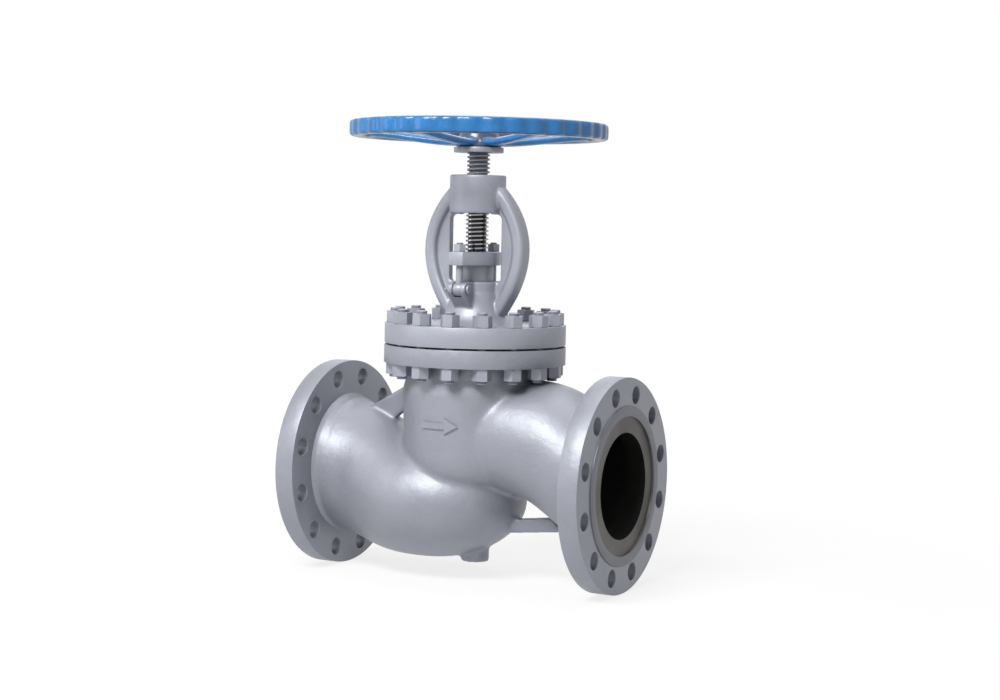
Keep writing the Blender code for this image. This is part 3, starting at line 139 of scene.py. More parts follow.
# Chamber, its flange, the ribs, the boss and the flow arrow
CHAMBER_RADIUS = 0.134
CHAMBER_BORE = 0.118
CHAMBER_NECK = 0.131
CHAMBER_BULGE = (0.1375, 0.163)
CHAMBER_NECK_START = 0.185
CHAMBER_FOOT = (0.092, 0.045)
CHAMBER_FOOT_ROUNDING = (0.042, 0.060)
BRIDGE_HALF_THICKNESS = 0.014
SEAT_HOLE = 0.1023
TOP_FLANGE_BOTTOM = 0.213
TOP_FLANGE_TOP = BODY_HIGH.z
TOP_FLANGE_RADIUS = 0.175
SPIGOT_RADIUS = 0.131
SPIGOT_BORE = 0.1185
GASKET_FACE = 0.243
RIB_HALF_THICKNESS = 0.010
RIB_EDGE = 0.002
UPPER_RIB = ((-0.226, 0.118), (-0.120, 0.178), (-0.120, 0.136), (-0.186, 0.086))
LOWER_RIB = ((0.055, -0.1128), (0.200, -0.0975), (0.176, -0.072), (0.074, -0.0845))
BOSS_RADIUS = 0.027
BOSS_X = 0.009
BOSS_FACE = -0.171
BOSS_ROOT = -0.130
ARROW_HEIGHT = 0.102
ARROW_ENDS = (-0.036, 0.012, 0.038)
ARROW_HALF_WIDTHS = (0.0055, 0.0150)
ARROW_RAISED = 0.0054
ARROW_STRIPS = 12

# Studs of the bonnet joint
STUDS = 16
STUD_CIRCLE = 0.1545
STUD_RADIUS = 0.010
STUD_HOLE = 0.011
STUD_CHAMFER = 0.0014
STUD_GROOVE = 0.0011
STUD_GROOVES = 3
STUD_NUT = 0.032
STUD_NUT_HEIGHT = 0.022
HEX_SIDES = 6
HEX_TURN = math.radians(30)
NUT_CHAMFER_SLOPE = 0.55
STUD_GROOVE_SHARES = (0.3, 0.65)
THREAD_CREST = 0.35
THREAD_ROOT = 0.35

# Bonnet, yoke and lugs
BONNET_FLANGE_BOTTOM = 0.2507
BONNET_FLANGE_TOP = 0.2893
BONNET_FLANGE_RADIUS = 0.1745
BONNET_ROOF = 0.262
ROOF_CORNER = 0.014
BUSH_HOLE = 0.0303
BOX_RADIUS = 0.047
BOX_BORE = 0.0333
BOX_FLOOR = 0.3055
BOX_TOP = 0.370
NECK_CURVE = ((0.086, 0.2893), (0.050, 0.2893), (0.050, 0.350), (0.047, 0.350))
NECK_FOOT_OUT = 0.004
NECK_FOOT_SINK = 0.003
HUB_RADIUS = 0.054
HUB_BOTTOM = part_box("yoke_nut")[0].z
HUB_TOP = BONNET_HIGH.z
HUB_EDGE = 0.002
HUB_NUT_HOLE = 0.0313
HUB_NUT_LIP_HOLE = 0.0363
HUB_NUT_LIP_TOP = HUB_BOTTOM + 0.0093
HUB_SCREW_HEIGHT = 0.552
HUB_SCREW_HOLE = 0.0043
ARM_HALF_DEPTH = 0.0135
ARM_HALF_WIDTH = 0.019
ARM_SQUARENESS = 0.62
ARM_SIDES = 40
ARM_STATIONS = 24
ARM_CURVE = ((0.040, 0.300), (0.105, 0.3795), (0.123, 0.4682), (0.038, 0.5485))
WEB_HALF_THICKNESS = 0.008
WINDOW_HALF_WIDTH = 0.056
WINDOW_BOTTOM = 0.368
WINDOW_TOP = HUB_BOTTOM - 0.002
WINDOW_CORNER = 0.010
LUG_REACH = 0.067
LUG_PIN_HEIGHT = 0.356
LUG_RADIUS = 0.014
LUG_HALF_WIDTH = 0.019
LUG_EDGE = 0.0012
LUG_SLOT = 0.0086
LUG_DEPTH = 0.044
LUG_ROOT = 0.043
PIN_RADIUS = 0.006

# Gland and eyebolts
EYE_RADIUS = 0.013
EYE_HALF_WIDTH = 0.008
EYE_EDGE = 0.0022
EYE_ROOM = 0.0015
EYEBOLT_RADIUS = 0.0067
EYEBOLT_THREAD_DEPTH = 0.0010
EYEBOLT_THREAD_BELOW_GLAND = 0.012
GLAND_HOLE = 0.0078
GLAND_END_HALF_WIDTH = 0.015
GLAND_WAIST_RADIUS = 0.045
GLAND_WAIST_ANGLE = 24
GLAND_EDGE = 0.0012
FOLLOWER_EDGE = 0.0006
GLAND_NUT = 0.022
GLAND_NUT_CHAMFER = 0.0016
PIN_HEAD_RADIUS = 0.009
PIN_HEAD_HEIGHT = 0.004
PIN_EDGE = 0.0009
PIN_PAST_LUG = 0.008
SPLIT_WIRE = 0.0011
SPLIT_EYE = 0.0026
SPLIT_LEGS = (-0.013, 0.0085)
SPLIT_EYE_HEIGHT = 0.0105
SPLIT_PAST_LUG = 0.0035

# Stem
STEM_RADIUS = 0.022
STEM_BORE = 0.0226
STEM_HEAD_RADIUS = 0.030
STEM_HEAD_HEIGHT = 0.0203
STEM_HEAD_CHAMFER = 0.004
BACK_SEAT_RADIUS = 0.029
BACK_SEAT_LOW = 0.1834
BACK_SEAT_HIGH = 0.1994
BACK_SEAT_CHAMFERS = (0.004, 0.006)
STEM_THREAD_LOW = GLAND_LOW.z - 0.010
STEM_THREAD_HIGH = PLATE_LOW.z - FIT - 0.0008
STEM_THREAD_LAP = 0.002
STEM_END_CHAMFER = 0.002

# Handwheel and its fixings
WHEEL_SEAT = 0.017
WHEEL_RADIUS = 0.2475
WHEEL_MIDDLE = 0.658
RIM_WIDTH = 0.026
RIM_HEIGHT = 0.031
RIM_SQUARENESS = 0.42
RIM_CORNERS = 28
GRIPS = 36
GRIP_STEPS = 8
SPOKES = 5
FIRST_SPOKE = math.radians(-25.5)
WHEEL_HUB_RADIUS = 0.040
WHEEL_HUB_TAPER = 0.004
SPOKE_ENDS = (0.030, 0.2315)
SPOKE_HEIGHTS = (0.6361, 0.653)
SPOKE_LEADS = (0.060, 0.070)
SPOKE_DISH = 0.002
SPOKE_HALF_WIDTH = 0.0168
SPOKE_WAIST = 0.0025
SPOKE_ROOT = 0.006
SPOKE_HALF_THICKNESS = 0.0075
SPOKE_SIDES = 24
SPOKE_STATIONS = 20
KEY_HALF_WIDTH = 0.0053
KEY_REACH = 0.0213
KEY_HEIGHT = 0.0086
PLATE_EDGE = 0.0010
WASHER_EDGE = 0.0005
WHEEL_NUT = 0.046
WHEEL_NUT_CHAMFER = 0.0030
WHEEL_NUT_MOUTH = 0.0008

# Stage
LOOK_HEIGHT = 0.200
LOOK_RIGHT = 0.04902
LOOK_UP = 0.03743
FLOOR_RADIUS = 14
FLOOR_WHITE_FROM = 0.45
FLOOR_WHITE_TO = 1.3

Z_TO_X = Matrix.Rotation(math.radians(90), 4, "Y")
Z_TO_FRONT = Matrix.Rotation(math.radians(90), 4, "X")
Z_TO_BACK = Matrix.Rotation(math.radians(-90), 4, "X")
X_TO_Y = Matrix.Rotation(math.radians(90), 4, "Z")
HALF_TURN_ABOUT_Y = Matrix.Rotation(math.pi, 4, "Y")
HALF_TURN_ABOUT_Z = Matrix.Rotation(math.pi, 4, "Z")


def number_property(name, description, default, **kind):
    """A property that holds a number."""
    return FloatProperty(name=name, description=description, default=default, **kind)


def count_property(name, description, default):
    """A property that holds a whole number."""
    return IntProperty(name=name, description=description, default=default, min=0)


def length_property(name, description, default, **limits):
    """A property that holds a length in metres."""
    return number_property(name, description, default, subtype="DISTANCE", unit="LENGTH", **limits)


def angle_property(name, description, degrees):
    """A property that holds an angle."""
    return number_property(name, description, math.radians(degrees), subtype="ANGLE", unit="ROTATION")


def colour_property(name, description, default):
    """A property that holds a colour."""
    return FloatVectorProperty(name=name, description=description, default=default, size=3, min=0, max=1,
                               subtype="COLOR")


class CastingSizes(bpy.types.PropertyGroup):
    """How finely the castings are made and how soft their joins are."""

    body_grid: length_property("Body grid", "Facet size of the body casting", 0.0038, min=0.002)
    bonnet_grid: length_property("Bonnet grid", "Facet size of the bonnet casting", 0.0021, min=0.001)
    wheel_grid: length_property("Wheel grid", "Facet size of the handwheel", 0.0021, min=0.001)
    crease: count_property("Crease softness", "Smoothing passes where chamber and branches meet", 7)
    skin: count_property("Skin softness", "Smoothing passes over each finished casting", 4)
    root: length_property("Flange root", "Fillet between a neck and its pipe flange", 0.011)
    edge: length_property("Edge rounding", "Rounding of the machined edges", 0.0015)


class FastenerSizes(bpy.types.PropertyGroup):
    """Sizes of the nuts, studs and threads."""

    stem_pitch: length_property("Stem pitch", "Rise of the stem's thread per turn", 0.008)
    stem_depth: length_property("Stem thread depth", "Depth of the stem's thread", 0.0042)
    stud_pitch: length_property("Stud pitch", "Pitch of the studs' and eyebolts' threads", 0.002)
    nut_chamfer: length_property("Nut chamfer", "How far the corners of a nut are turned down", 0.0022)


class WheelSizes(bpy.types.PropertyGroup):
    """Sizes of the handwheel's grip."""

    grip_depth: length_property("Grip depth", "Depth of the hollows between the grips", 0.0042)
    grip_roundness: number_property("Grip roundness", "Shape of a grip, 1 for a plain wave", 0.7,
                                    min=0.2, max=2.0)


class Finishes(bpy.types.PropertyGroup):
    """Colours of the paint and the unpainted metals."""

    silver: colour_property("Silver paint", "Paint of the castings and their bolts", (0.250, 0.260, 0.297))
    blue: colour_property("Blue enamel", "Enamel of the handwheel", (0.010, 0.128, 0.335))
    steel: colour_property("Stem steel", "Greased steel of the stem's thread", (0.085, 0.085, 0.090))
    # Near black: dark primer, and painted shade inside the passages.
    bore: colour_property("Passage", "Dark inside of the castings", (0.007, 0.0065, 0.006))


class StageSizes(bpy.types.PropertyGroup):
    """Camera, lamps and floor."""

    lens: number_property("Lens", "Focal length in millimetres", 67.14)
    distance: length_property("Distance", "From the camera to the point it looks at", 3.6)
    yaw: angle_property("Yaw", "How far the camera stands towards the outlet", 28.205)
    pitch: angle_property("Pitch", "How far the camera looks down", 3.955)
    roll: angle_property("Roll", "How far the camera is tilted", 1.154)
    key_power: number_property("Key lamp", "Power of the large lamp at the front", 118.0)
    side_power: number_property("Side lamp", "Power of the lamp at the side", 9.0)
    top_power: number_property("Top lamp", "Power of the lamp overhead", 30.0)
    daylight: number_property("Surround", "Strength of the pale surround on dull surfaces", 0.13)


def settings(group):
    """One group of the add-on's properties."""
    return getattr(bpy.context.scene, group)


def at(x, y, z):
    """A shift to a place."""
    return Matrix.Translation((x, y, z))


def about_z(angle):
    """A turn about the Z axis."""
    return Matrix.Rotation(angle, 4, "Z")


def linked(name, data):
    """A new object of the scene."""
    made = bpy.data.objects.new(name, data)
    bpy.context.scene.collection.objects.link(made)
    return made


def to_object(bm, name="shape"):
    """Turn an edited mesh, with its faces outwards, into an object of the scene."""
    bmesh.ops.recalc_face_normals(bm, faces=bm.faces)
    if bm.calc_volume(signed=True) < 0:
        bmesh.ops.reverse_faces(bm, faces=bm.faces)
    mesh = bpy.data.meshes.new(name)
    bm.to_mesh(mesh)
    bm.free()
    return linked(name, mesh)


def move(thing, matrix):
    """Move a shape within its mesh."""
    thing.data.transform(matrix)
    return thing


def copy_of(thing, matrix=None):
    """A copy of a shape with its own mesh, moved if need be."""
    made = linked(thing.name, thing.data.copy())
    return move(made, matrix) if matrix else made


def together(*things):
    """One object of several shapes, which stay as they are in its mesh."""
    bm = bmesh.new()
    for thing in things:
        bm.from_mesh(thing.data)
        bpy.data.objects.remove(thing)
    mesh = bpy.data.meshes.new("shapes")
    bm.to_mesh(mesh)
    bm.free()
    return linked("shapes", mesh)


def settle(thing):
    """Give a shape the mesh that its modifiers make."""
    graph = bpy.context.evaluated_depsgraph_get()
    result = bpy.data.meshes.new_from_object(thing.evaluated_get(graph))
    thing.modifiers.clear()
    thing.data = result
    return thing


def combine(thing, tool, operation):
    """Join the second body to the first, cut it out or keep what they share, and remove the second."""
    step = thing.modifiers.new(operation.title(), "BOOLEAN")
    step.operation = operation
    step.solver = "EXACT"
    step.object = tool
    settle(thing)
    bpy.data.objects.remove(tool)
    return thing


def join(thing, *tools):
    """Unite a body with others that overlap it."""
    for tool in tools:
        combine(thing, tool, "UNION")
    return thing


def cut(thing, *tools):
    """Take other bodies out of a body."""
    for tool in tools:
        combine(thing, tool, "DIFFERENCE")
    return thing


def recast(thing, grid, passes):
    """Fuse overlapping shapes into one skin of even facets, and soften its creases."""
    step = thing.modifiers.new("Fuse", "REMESH")
    step.mode = "VOXEL"
    step.voxel_size = grid * 1.0
    soften = thing.modifiers.new("Soften", "SMOOTH")
    soften.factor = 0.5
    soften.iterations = passes
    return settle(thing)


def weld(thing):
    """Merge the slivers that cutting leaves."""
    bm = bmesh.new()
    bm.from_mesh(thing.data)
    bmesh.ops.remove_doubles(bm, verts=bm.verts, dist=WELD)
    bmesh.ops.dissolve_degenerate(bm, edges=bm.edges, dist=WELD)
    bmesh.ops.delete(bm, geom=[edge for edge in bm.edges if not edge.link_faces], context="EDGES")
    bmesh.ops.delete(bm, geom=[vert for vert in bm.verts if not vert.link_faces], context="VERTS")
    bm.to_mesh(thing.data)
    bm.free()
    return thing


def finish(thing, name, body, nodes, surface=None):
    """Name a piece, shade it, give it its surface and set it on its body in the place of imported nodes."""
    thing.name = name
    thing.data.name = name
    if surface:
        thing.data.materials.clear()
        thing.data.materials.append(surface)
    thing.data.shade_smooth()
    thing.data.set_sharp_from_angle(angle=SHARP_ANGLE)
    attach(thing, body)
    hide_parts(*nodes)


def everything(bm):
    """All vertices, edges and faces of a mesh that is being made."""
    return list(bm.verts) + list(bm.edges) + list(bm.faces)


def round_edges(bm, width):
    """Round the sharp edges of a shape that is being made."""
    bmesh.ops.recalc_face_normals(bm, faces=bm.faces)
    if width:
        sharp = [edge for edge in bm.edges
                 if len(edge.link_faces) == 2 and edge.calc_face_angle(0) > SHARP_ANGLE]
        bmesh.ops.bevel(bm, geom=sharp, offset=width, affect="EDGES", segments=2, profile=0.5, material=-1,
                        clamp_overlap=True)


def spin_round(bm, geom, steps):
    """Spin an outline once about Z and close the shape."""
    bmesh.ops.spin(bm, geom=geom, axis=(0, 0, 1), angle=2 * math.pi, steps=steps, use_merge=True)
    bmesh.ops.remove_doubles(bm, verts=bm.verts, dist=WELD)


def turned(profile, steps, edge=0.0):
    """A body turned about Z from (radius, height) points, closed on the axis or a ring."""
    bm = bmesh.new()
    verts = [bm.verts.new((radius, 0, height)) for radius, height in profile]
    edges = [bm.edges.new(pair) for pair in zip(verts, verts[1:])]
    if profile[0][0] > 0:
        edges.append(bm.edges.new((verts[-1], verts[0])))
    spin_round(bm, verts + edges, steps)
    round_edges(bm, edge)
    return to_object(bm)


def sleeve(inner, outer, bottom, top, steps=ROUND_STEPS, edge=0.0):
    """A ring about Z, or a bar where the inner radius is 0, with rounded edges."""
    return turned([(inner, bottom), (outer, bottom), (outer, top), (inner, top)], steps, edge)


def rod(radius, bottom, top, steps, turn=0.0):
    """A solid round or prismatic bar about Z."""
    bm = bmesh.new()
    bmesh.ops.create_cone(bm, cap_ends=True, segments=steps, radius1=radius, radius2=radius,
                          depth=top - bottom, matrix=at(0, 0, (bottom + top) / 2) @ about_z(turn))
    return to_object(bm)


def block(low, high):
    """A box between two corners."""
    bm = bmesh.new()
    low, high = Vector(low), Vector(high)
    bmesh.ops.create_cube(bm, size=1, matrix=at(*(low + high) / 2) @ Matrix.Diagonal((*(high - low), 1)))
    return to_object(bm)


def plate(outline, half_thickness, edge=0.0):
    """A flat plate in the XZ plane, as thick on both sides of it, with rounded edges."""
    bm = bmesh.new()
    face = bm.faces.new([bm.verts.new((x, -half_thickness, z)) for x, z in outline])
    grown = bmesh.ops.extrude_face_region(bm, geom=[face])["geom"]
    verts = [item for item in grown if isinstance(item, bmesh.types.BMVert)]
    bmesh.ops.translate(bm, verts=verts, vec=(0, 2 * half_thickness, 0))
    round_edges(bm, edge)
    return to_object(bm)


def ring_of(shape, count, radius):
    """Copies of a shape on a circle about Z, half a step off the X axis, as one object."""
    copies = [copy_of(shape, about_z(math.pi * (2 * number + 1) / count) @ at(radius, 0, 0))
              for number in range(count)]
    bpy.data.objects.remove(shape)
    return together(*copies)


def countersunk(radius, bottom, top, steps, edge):
    """Cutter for a hole from bottom to top whose two mouths are broken by a small edge."""
    mouth = radius + edge + OVERLAP
    return turned([(0, bottom - OVERLAP), (mouth, bottom - OVERLAP), (radius, bottom + edge),
                   (radius, top - edge), (mouth, top + OVERLAP), (0, top + OVERLAP)], steps)


def arc(centre, width, start, end, steps, height=None):
    """Points on an arc between two angles in degrees, round or, with a height, elliptical."""
    points = []
    for step in range(steps + 1):
        angle = math.radians(start + (end - start) * step / steps)
        points.append((centre[0] + width * math.cos(angle), centre[1] + (height or width) * math.sin(angle)))
    return points


def bezier(points, t):
    """A point on a cubic curve and the direction there."""
    a, b, c, d = (Vector(point) for point in points)
    s = 1 - t
    place = a * s ** 3 + b * 3 * s * s * t + c * 3 * s * t * t + d * t ** 3
    direction = (b - a) * s * s + (c - b) * 2 * s * t + (d - c) * t * t
    return place, direction.normalized()


def bezier_points(points, stations):
    """Evenly stepped points along a cubic curve."""
    return [tuple(bezier(points, station / stations)[0]) for station in range(stations + 1)]


def ease(t):
    """A smooth step from 0 to 1."""
    t = max(0.0, min(1.0, t))
    return t * t * (3 - 2 * t)


def squared(part, squareness):
    """A coordinate of a unit circle that is pushed out towards a square as squareness falls under 1."""
    return math.copysign(abs(part) ** squareness, part)


def loft(rings, sides, squareness=1.0):
    """A closed body through rings in the XZ plane, each a (place, direction, across, along Y) row."""
    bm = bmesh.new()
    loops = []
    side = Vector((0, 1, 0))
    for place, direction, across, along in rings:
        forward = Vector((direction[0], 0, direction[1]))
        turn = Matrix((forward.cross(side) * across, side * along, forward)).transposed().to_4x4()
        matrix = at(place[0], 0, place[1]) @ turn
        verts = bmesh.ops.create_circle(bm, segments=sides, radius=1)["verts"]
        for vert in verts:
            x, y = (squared(part, squareness) for part in vert.co.xy)
            vert.co = matrix @ Vector((x, y, 0))
        loops.append(list({edge for vert in verts for edge in vert.link_edges}))
    for first, second in zip(loops, loops[1:]):
        bmesh.ops.bridge_loops(bm, edges=first + second)
    for end in (loops[0], loops[-1]):
        bmesh.ops.contextual_create(bm, geom=end)
    return to_object(bm)


def nut(across_flats, bottom, top, chamfer):
    """A six-sided nut blank about Z whose corners are turned down at both ends."""
    corner = across_flats / math.sqrt(3)
    blank = rod(corner, bottom, top, HEX_SIDES, HEX_TURN)
    run = chamfer * NUT_CHAMFER_SLOPE
    flat = corner - chamfer
    turning = turned([(0, bottom), (flat, bottom), (corner + FIT, bottom + run), (corner + FIT, top - run),
                      (flat, top), (0, top)], BAR_STEPS)
    return combine(blank, turning, "INTERSECT")


def screwed(radius, depth, pitch, bottom, top, steps):
    """A closed bar about Z with one right-handed thread along its whole length."""
    bm = bmesh.new()
    flank = (1 - THREAD_CREST - THREAD_ROOT) / 2
    shares = ((0, radius - depth), (THREAD_ROOT, radius - depth), (THREAD_ROOT + flank, radius),
              (THREAD_ROOT + flank + THREAD_CREST, radius))
    turns = math.ceil((top - bottom) / pitch) + 3
    start = bottom - 1.5 * pitch
    verts = []
    for turn in range(turns):
        verts += [bm.verts.new((reach, 0, start + (turn + share) * pitch)) for share, reach in shares]
    verts.append(bm.verts.new((radius - depth, 0, start + turns * pitch)))
    edges = [bm.edges.new(pair) for pair in zip(verts, verts[1:])]
    bmesh.ops.spin(bm, geom=verts + edges, axis=(0, 0, 1), angle=2 * math.pi, dvec=(0, 0, pitch / steps),
                   steps=steps, use_merge=False)
    bmesh.ops.remove_doubles(bm, verts=bm.verts, dist=WELD)
    for height, normal in ((bottom, (0, 0, -1)), (top, (0, 0, 1))):
        bmesh.ops.bisect_plane(bm, geom=everything(bm), dist=WELD, plane_co=(0, 0, height), plane_no=normal,
                               clear_outer=True)
    bmesh.ops.holes_fill(bm, edges=[edge for edge in bm.edges if len(edge.link_faces) == 1], sides=0)
    return to_object(bm)


class Value:
    """A number or a colour from a node, for sums written as in Python."""

    def __init__(self, nodes, socket):
        self.nodes = nodes
        self.socket = socket

    def maths(self, operation, *operands):
        """A Math node on this value and others."""
        return self.nodes.node("ShaderNodeMath", {"operation": operation}, dict(enumerate((self, *operands))))

    def __add__(self, other):
        return self.maths("ADD", other)

    __radd__ = __add__

    def __sub__(self, other):
        return self.maths("SUBTRACT", other)

    def __rsub__(self, other):
        return self.nodes.node("ShaderNodeMath", {"operation": "SUBTRACT"}, {0: other, 1: self})

    def __mul__(self, other):
        return self.maths("MULTIPLY", other)

    __rmul__ = __mul__

    def between(self, low, high):
        """0 at the first limit, 1 at the second and smooth between them."""
        return self.nodes.node("ShaderNodeMapRange", {"interpolation_type": "SMOOTHSTEP"},
                               {"Value": self, "From Min": low, "From Max": high}, "Result")


class Nodes:
    """The nodes of a material or of the world."""

    def __init__(self, tree):
        self.tree = tree

    def feed(self, socket, value):
        """Give a socket a constant or a link."""
        if isinstance(value, Value):
            self.tree.links.new(value.socket, socket)
        else:
            socket.default_value = value

    def node(self, kind, choices=None, inputs=None, output=0):
        """Any node: its settings first, then the values or links of its inputs."""
        node = self.tree.nodes.new(kind)
        for choice, value in (choices or {}).items():
            setattr(node, choice, value)
        for socket, value in (inputs or {}).items():
            self.feed(node.inputs[socket], value)
        return Value(self, node.outputs[output])

    def outputs_of(self, value):
        """Every output of the node that a value comes from."""
        return {output.name: Value(self, output) for output in value.socket.node.outputs}

    def seen(self):
        """1 for rays of the camera and for those in metal and glass, 0 for all others."""
        rays = self.outputs_of(self.node("ShaderNodeLightPath"))
        seen = rays["Is Camera Ray"].maths("MAXIMUM", rays["Is Glossy Ray"])
        return seen.maths("MAXIMUM", rays["Is Transmission Ray"])


class Surface(Nodes):
    """A Principled material and the nodes that feed it."""

    MIX_FIRST = 6
    MIX_SECOND = 7
    MIX_COLOUR = 2

    def __init__(self, name, colour, roughness, metallic, **constants):
        self.material = bpy.data.materials.new(name)
        self.material.use_nodes = True
        self.material.diffuse_color = (*colour, 1.0)
        super().__init__(self.material.node_tree)
        self.shader = self.tree.nodes["Principled BSDF"]
        constants.update({"Base Color": (*colour, 1.0), "Roughness": roughness, "Metallic": metallic})
        for socket, value in constants.items():
            self.set(socket.replace("_", " "), value)
        self.place = self.node("ShaderNodeTexCoord", output="Object")

    def set(self, socket, value):
        """Give an input of the shader a constant or a link."""
        self.feed(self.shader.inputs[socket], value)

    def noise(self, size, detail=2.0, roughness=0.5):
        """A cloudy value from 0 to 1 whose patches are about as large as the size given."""
        return self.node("ShaderNodeTexNoise", None, {"Vector": self.place, "Scale": 1 / size,
                                                      "Detail": detail, "Roughness": roughness})

    def mix(self, share, first, second):
        """A colour between two others."""
        return self.node("ShaderNodeMix", {"data_type": "RGBA"},
                         {0: share, self.MIX_FIRST: first, self.MIX_SECOND: second}, self.MIX_COLOUR)

    def cloudy(self, clouds, colour, darker, lighter):
        """A colour that drifts between two shades of itself."""
        return self.mix(clouds.between(0.3, 0.7), shade(colour, darker), shade(colour, lighter))

    def axes(self):
        """The three object coordinates as values."""
        return self.outputs_of(self.node("ShaderNodeSeparateXYZ", None, {0: self.place})).values()

    def bump(self, height, distance, below=None):
        """A bump node, on top of another one if given, that feeds the shader's normal."""
        inputs = {"Height": height, "Distance": distance, "Strength": 1.0}
        if below:
            inputs["Normal"] = below
        made = self.node("ShaderNodeBump", None, inputs)
        self.set("Normal", made)
        return made


def from_axis(first, second):
    """How far a point lies from an axis, from its two coordinates across it."""
    return (first * first + second * second).maths("SQRT")


def shade(colour, share):
    """A colour made lighter or darker, with its alpha."""
    return (*(min(1.0, part * share) for part in colour), 1.0)


def silver_paint(name, grain, grain_depth, tone=1.0):
    """Aluminium paint: cloudy in tone, with the grain of what lies under it."""
    colour = settings("valve_finishes").silver
    # A tone above 1 makes a lighter copy of the one paint as painted light, a tone under 1 a darker copy as
    # painted shade.
    made = Surface(name, [part * tone for part in colour], 0.40, 0.40)
    clouds = made.noise(0.09, 3.0)
    flecks = made.noise(0.0011, 1.0)
    tinted = made.cloudy(clouds, colour, 0.93 * tone, 1.06 * tone)
    made.set("Base Color", made.mix(flecks.between(0.35, 0.75), tinted, shade(colour, 1.16 * tone)))
    made.set("Roughness", 0.40 + 0.10 * clouds + 0.05 * flecks)
    dents = made.bump(made.noise(0.024, 2.0), grain_depth * 3.0)
    made.bump(made.noise(grain, 3.0, 0.6), grain_depth, dents)
    return made.material


def shaded_passage_surface():
    """The rough inside of a casting: dark primer made near black as painted shade."""
    colour = settings("valve_finishes").bore
    made = Surface("passage", colour, 0.50, 0.0, Specular_IOR_Level=0.18)
    made.set("Base Color", made.mix(made.noise(0.02, 3.0), shade(colour, 0.7), shade(colour, 1.7)))
    made.bump(made.noise(0.0025, 3.0, 0.6), 0.0006)
    return made.material


def machined_face():
    """Turned metal under thin paint, partly darkened as painted shade, with tool rings about the pipe axis
    and a brown recess.
    """
    colour = settings("valve_finishes").silver
    # The face's dark tone is partly the turned metal's own and partly painted shade.
    tone = 0.55
    ring_pitch = 0.0011
    made = Surface("machined face", [part * tone for part in colour], 0.40, 0.75)
    _, y, z = made.axes()
    radius = from_axis(y, z)
    clouds = made.noise(0.05, 3.0)
    bright = made.cloudy(clouds, colour, tone * 0.88, tone * 1.08)
    brown = made.mix(clouds.between(0.3, 0.7), (0.055, 0.052, 0.050, 1.0), (0.095, 0.090, 0.085, 1.0))
    recess = radius.between(RECESS_RADIUS + 0.0015, RECESS_RADIUS - 0.0005)
    made.set("Base Color", made.mix(recess, bright, brown))
    made.set("Roughness", 0.36 + 0.12 * clouds)
    made.bump((radius * (2 * math.pi / ring_pitch)).maths("SINE"), 0.00004)
    return made.material


def stem_steel():
    """Greased steel under the yoke's hub, thin paint above, a painted highlight on the crests and painted
    shade in the roots.
    """
    finishes = settings("valve_finishes")
    made = Surface("stem steel", finishes.steel, 0.22, 1.0)
    x, y, z = made.axes()
    depth = settings("valve_fasteners").stem_depth
    # The thread's crests get a painted highlight and its roots painted shade.
    lit_crest = from_axis(x, y).between(STEM_RADIUS - 0.8 * depth, STEM_RADIUS - 0.1 * depth)
    painted = z.between(HUB_BOTTOM + 0.020, HUB_TOP - 0.010)
    streaks = made.noise(0.004, 3.0)
    # Bare steel: dark in the roots as painted shade, bright on the crests as a painted highlight.
    painted_shading = made.mix(lit_crest, shade(finishes.steel, 0.25), shade(finishes.steel, 3.6))
    # Thin paint: lighter on the crests as a painted highlight, broken up by streaks.
    coated = made.mix(lit_crest * (0.6 + 0.4 * streaks), shade(finishes.silver, 0.35),
                      shade(finishes.silver, 1.15))
    made.set("Base Color", made.mix(painted, painted_shading, coated))
    made.set("Roughness", 0.16 + 0.10 * streaks + 0.20 * painted)
    made.set("Metallic", 1.0 - 0.35 * painted)
    made.bump(made.noise(0.0012, 2.0), 0.00006)
    return made.material


def plain_metal(name, colour, roughness, metallic):
    """Turned or ground metal with a cloudy tone and a fine grain."""
    made = Surface(name, colour, roughness, metallic)
    clouds = made.noise(0.02, 3.0)
    made.set("Base Color", made.cloudy(clouds, colour, 0.82, 1.15))
    made.set("Roughness", roughness - 0.05 + 0.12 * clouds)
    made.bump(made.noise(0.0015, 2.0), 0.00008)
    return made.material


def blue_enamel():
    """Thick brushed enamel with runs and a wet gloss; dark brown painted shade under and inside the rim and
    at the hub.
    """
    colour = settings("valve_finishes").blue
    made = Surface("blue enamel", colour, 0.30, 0.0, Coat_Weight=0.25, Coat_Roughness=0.15, IOR=1.45)
    clouds = made.noise(0.035, 3.0)
    x, y, z = made.axes()
    radius = from_axis(x, y)
    inner = WHEEL_RADIUS - RIM_WIDTH
    bottom = WHEEL_MIDDLE - RIM_HEIGHT / 2
    # Masks of painted shade: the rim's inside face, its underside and the hub, where shade falls.
    on_rim = radius.between(inner - 0.004, inner - 0.001)
    rim_inside = on_rim * radius.between(inner + 0.004, inner + 0.002)
    below = z.between(bottom + 0.0035, bottom + 0.0015) * on_rim
    hub = radius.between(WHEEL_HUB_RADIUS + 0.007, WHEEL_HUB_RADIUS + 0.003)
    # The painted shade falls in patches and takes the enamel up to 0.8 of the way to dark brown.
    painted_shading = (rim_inside + below + hub).maths("MINIMUM", 1.0) * clouds.between(0.2, 0.45)
    enamel = made.cloudy(clouds, colour, 0.86, 1.14)
    # The dark brown here is the colour of the painted shade.
    made.set("Base Color", made.mix(painted_shading * 0.8, enamel, (0.050, 0.047, 0.045, 1.0)))
    made.set("Roughness", 0.24 + 0.14 * clouds)
    runs = made.bump(made.noise(0.012, 2.0), 0.0009)
    made.bump(made.noise(0.0022, 2.0), 0.00016, runs)
    return made.material


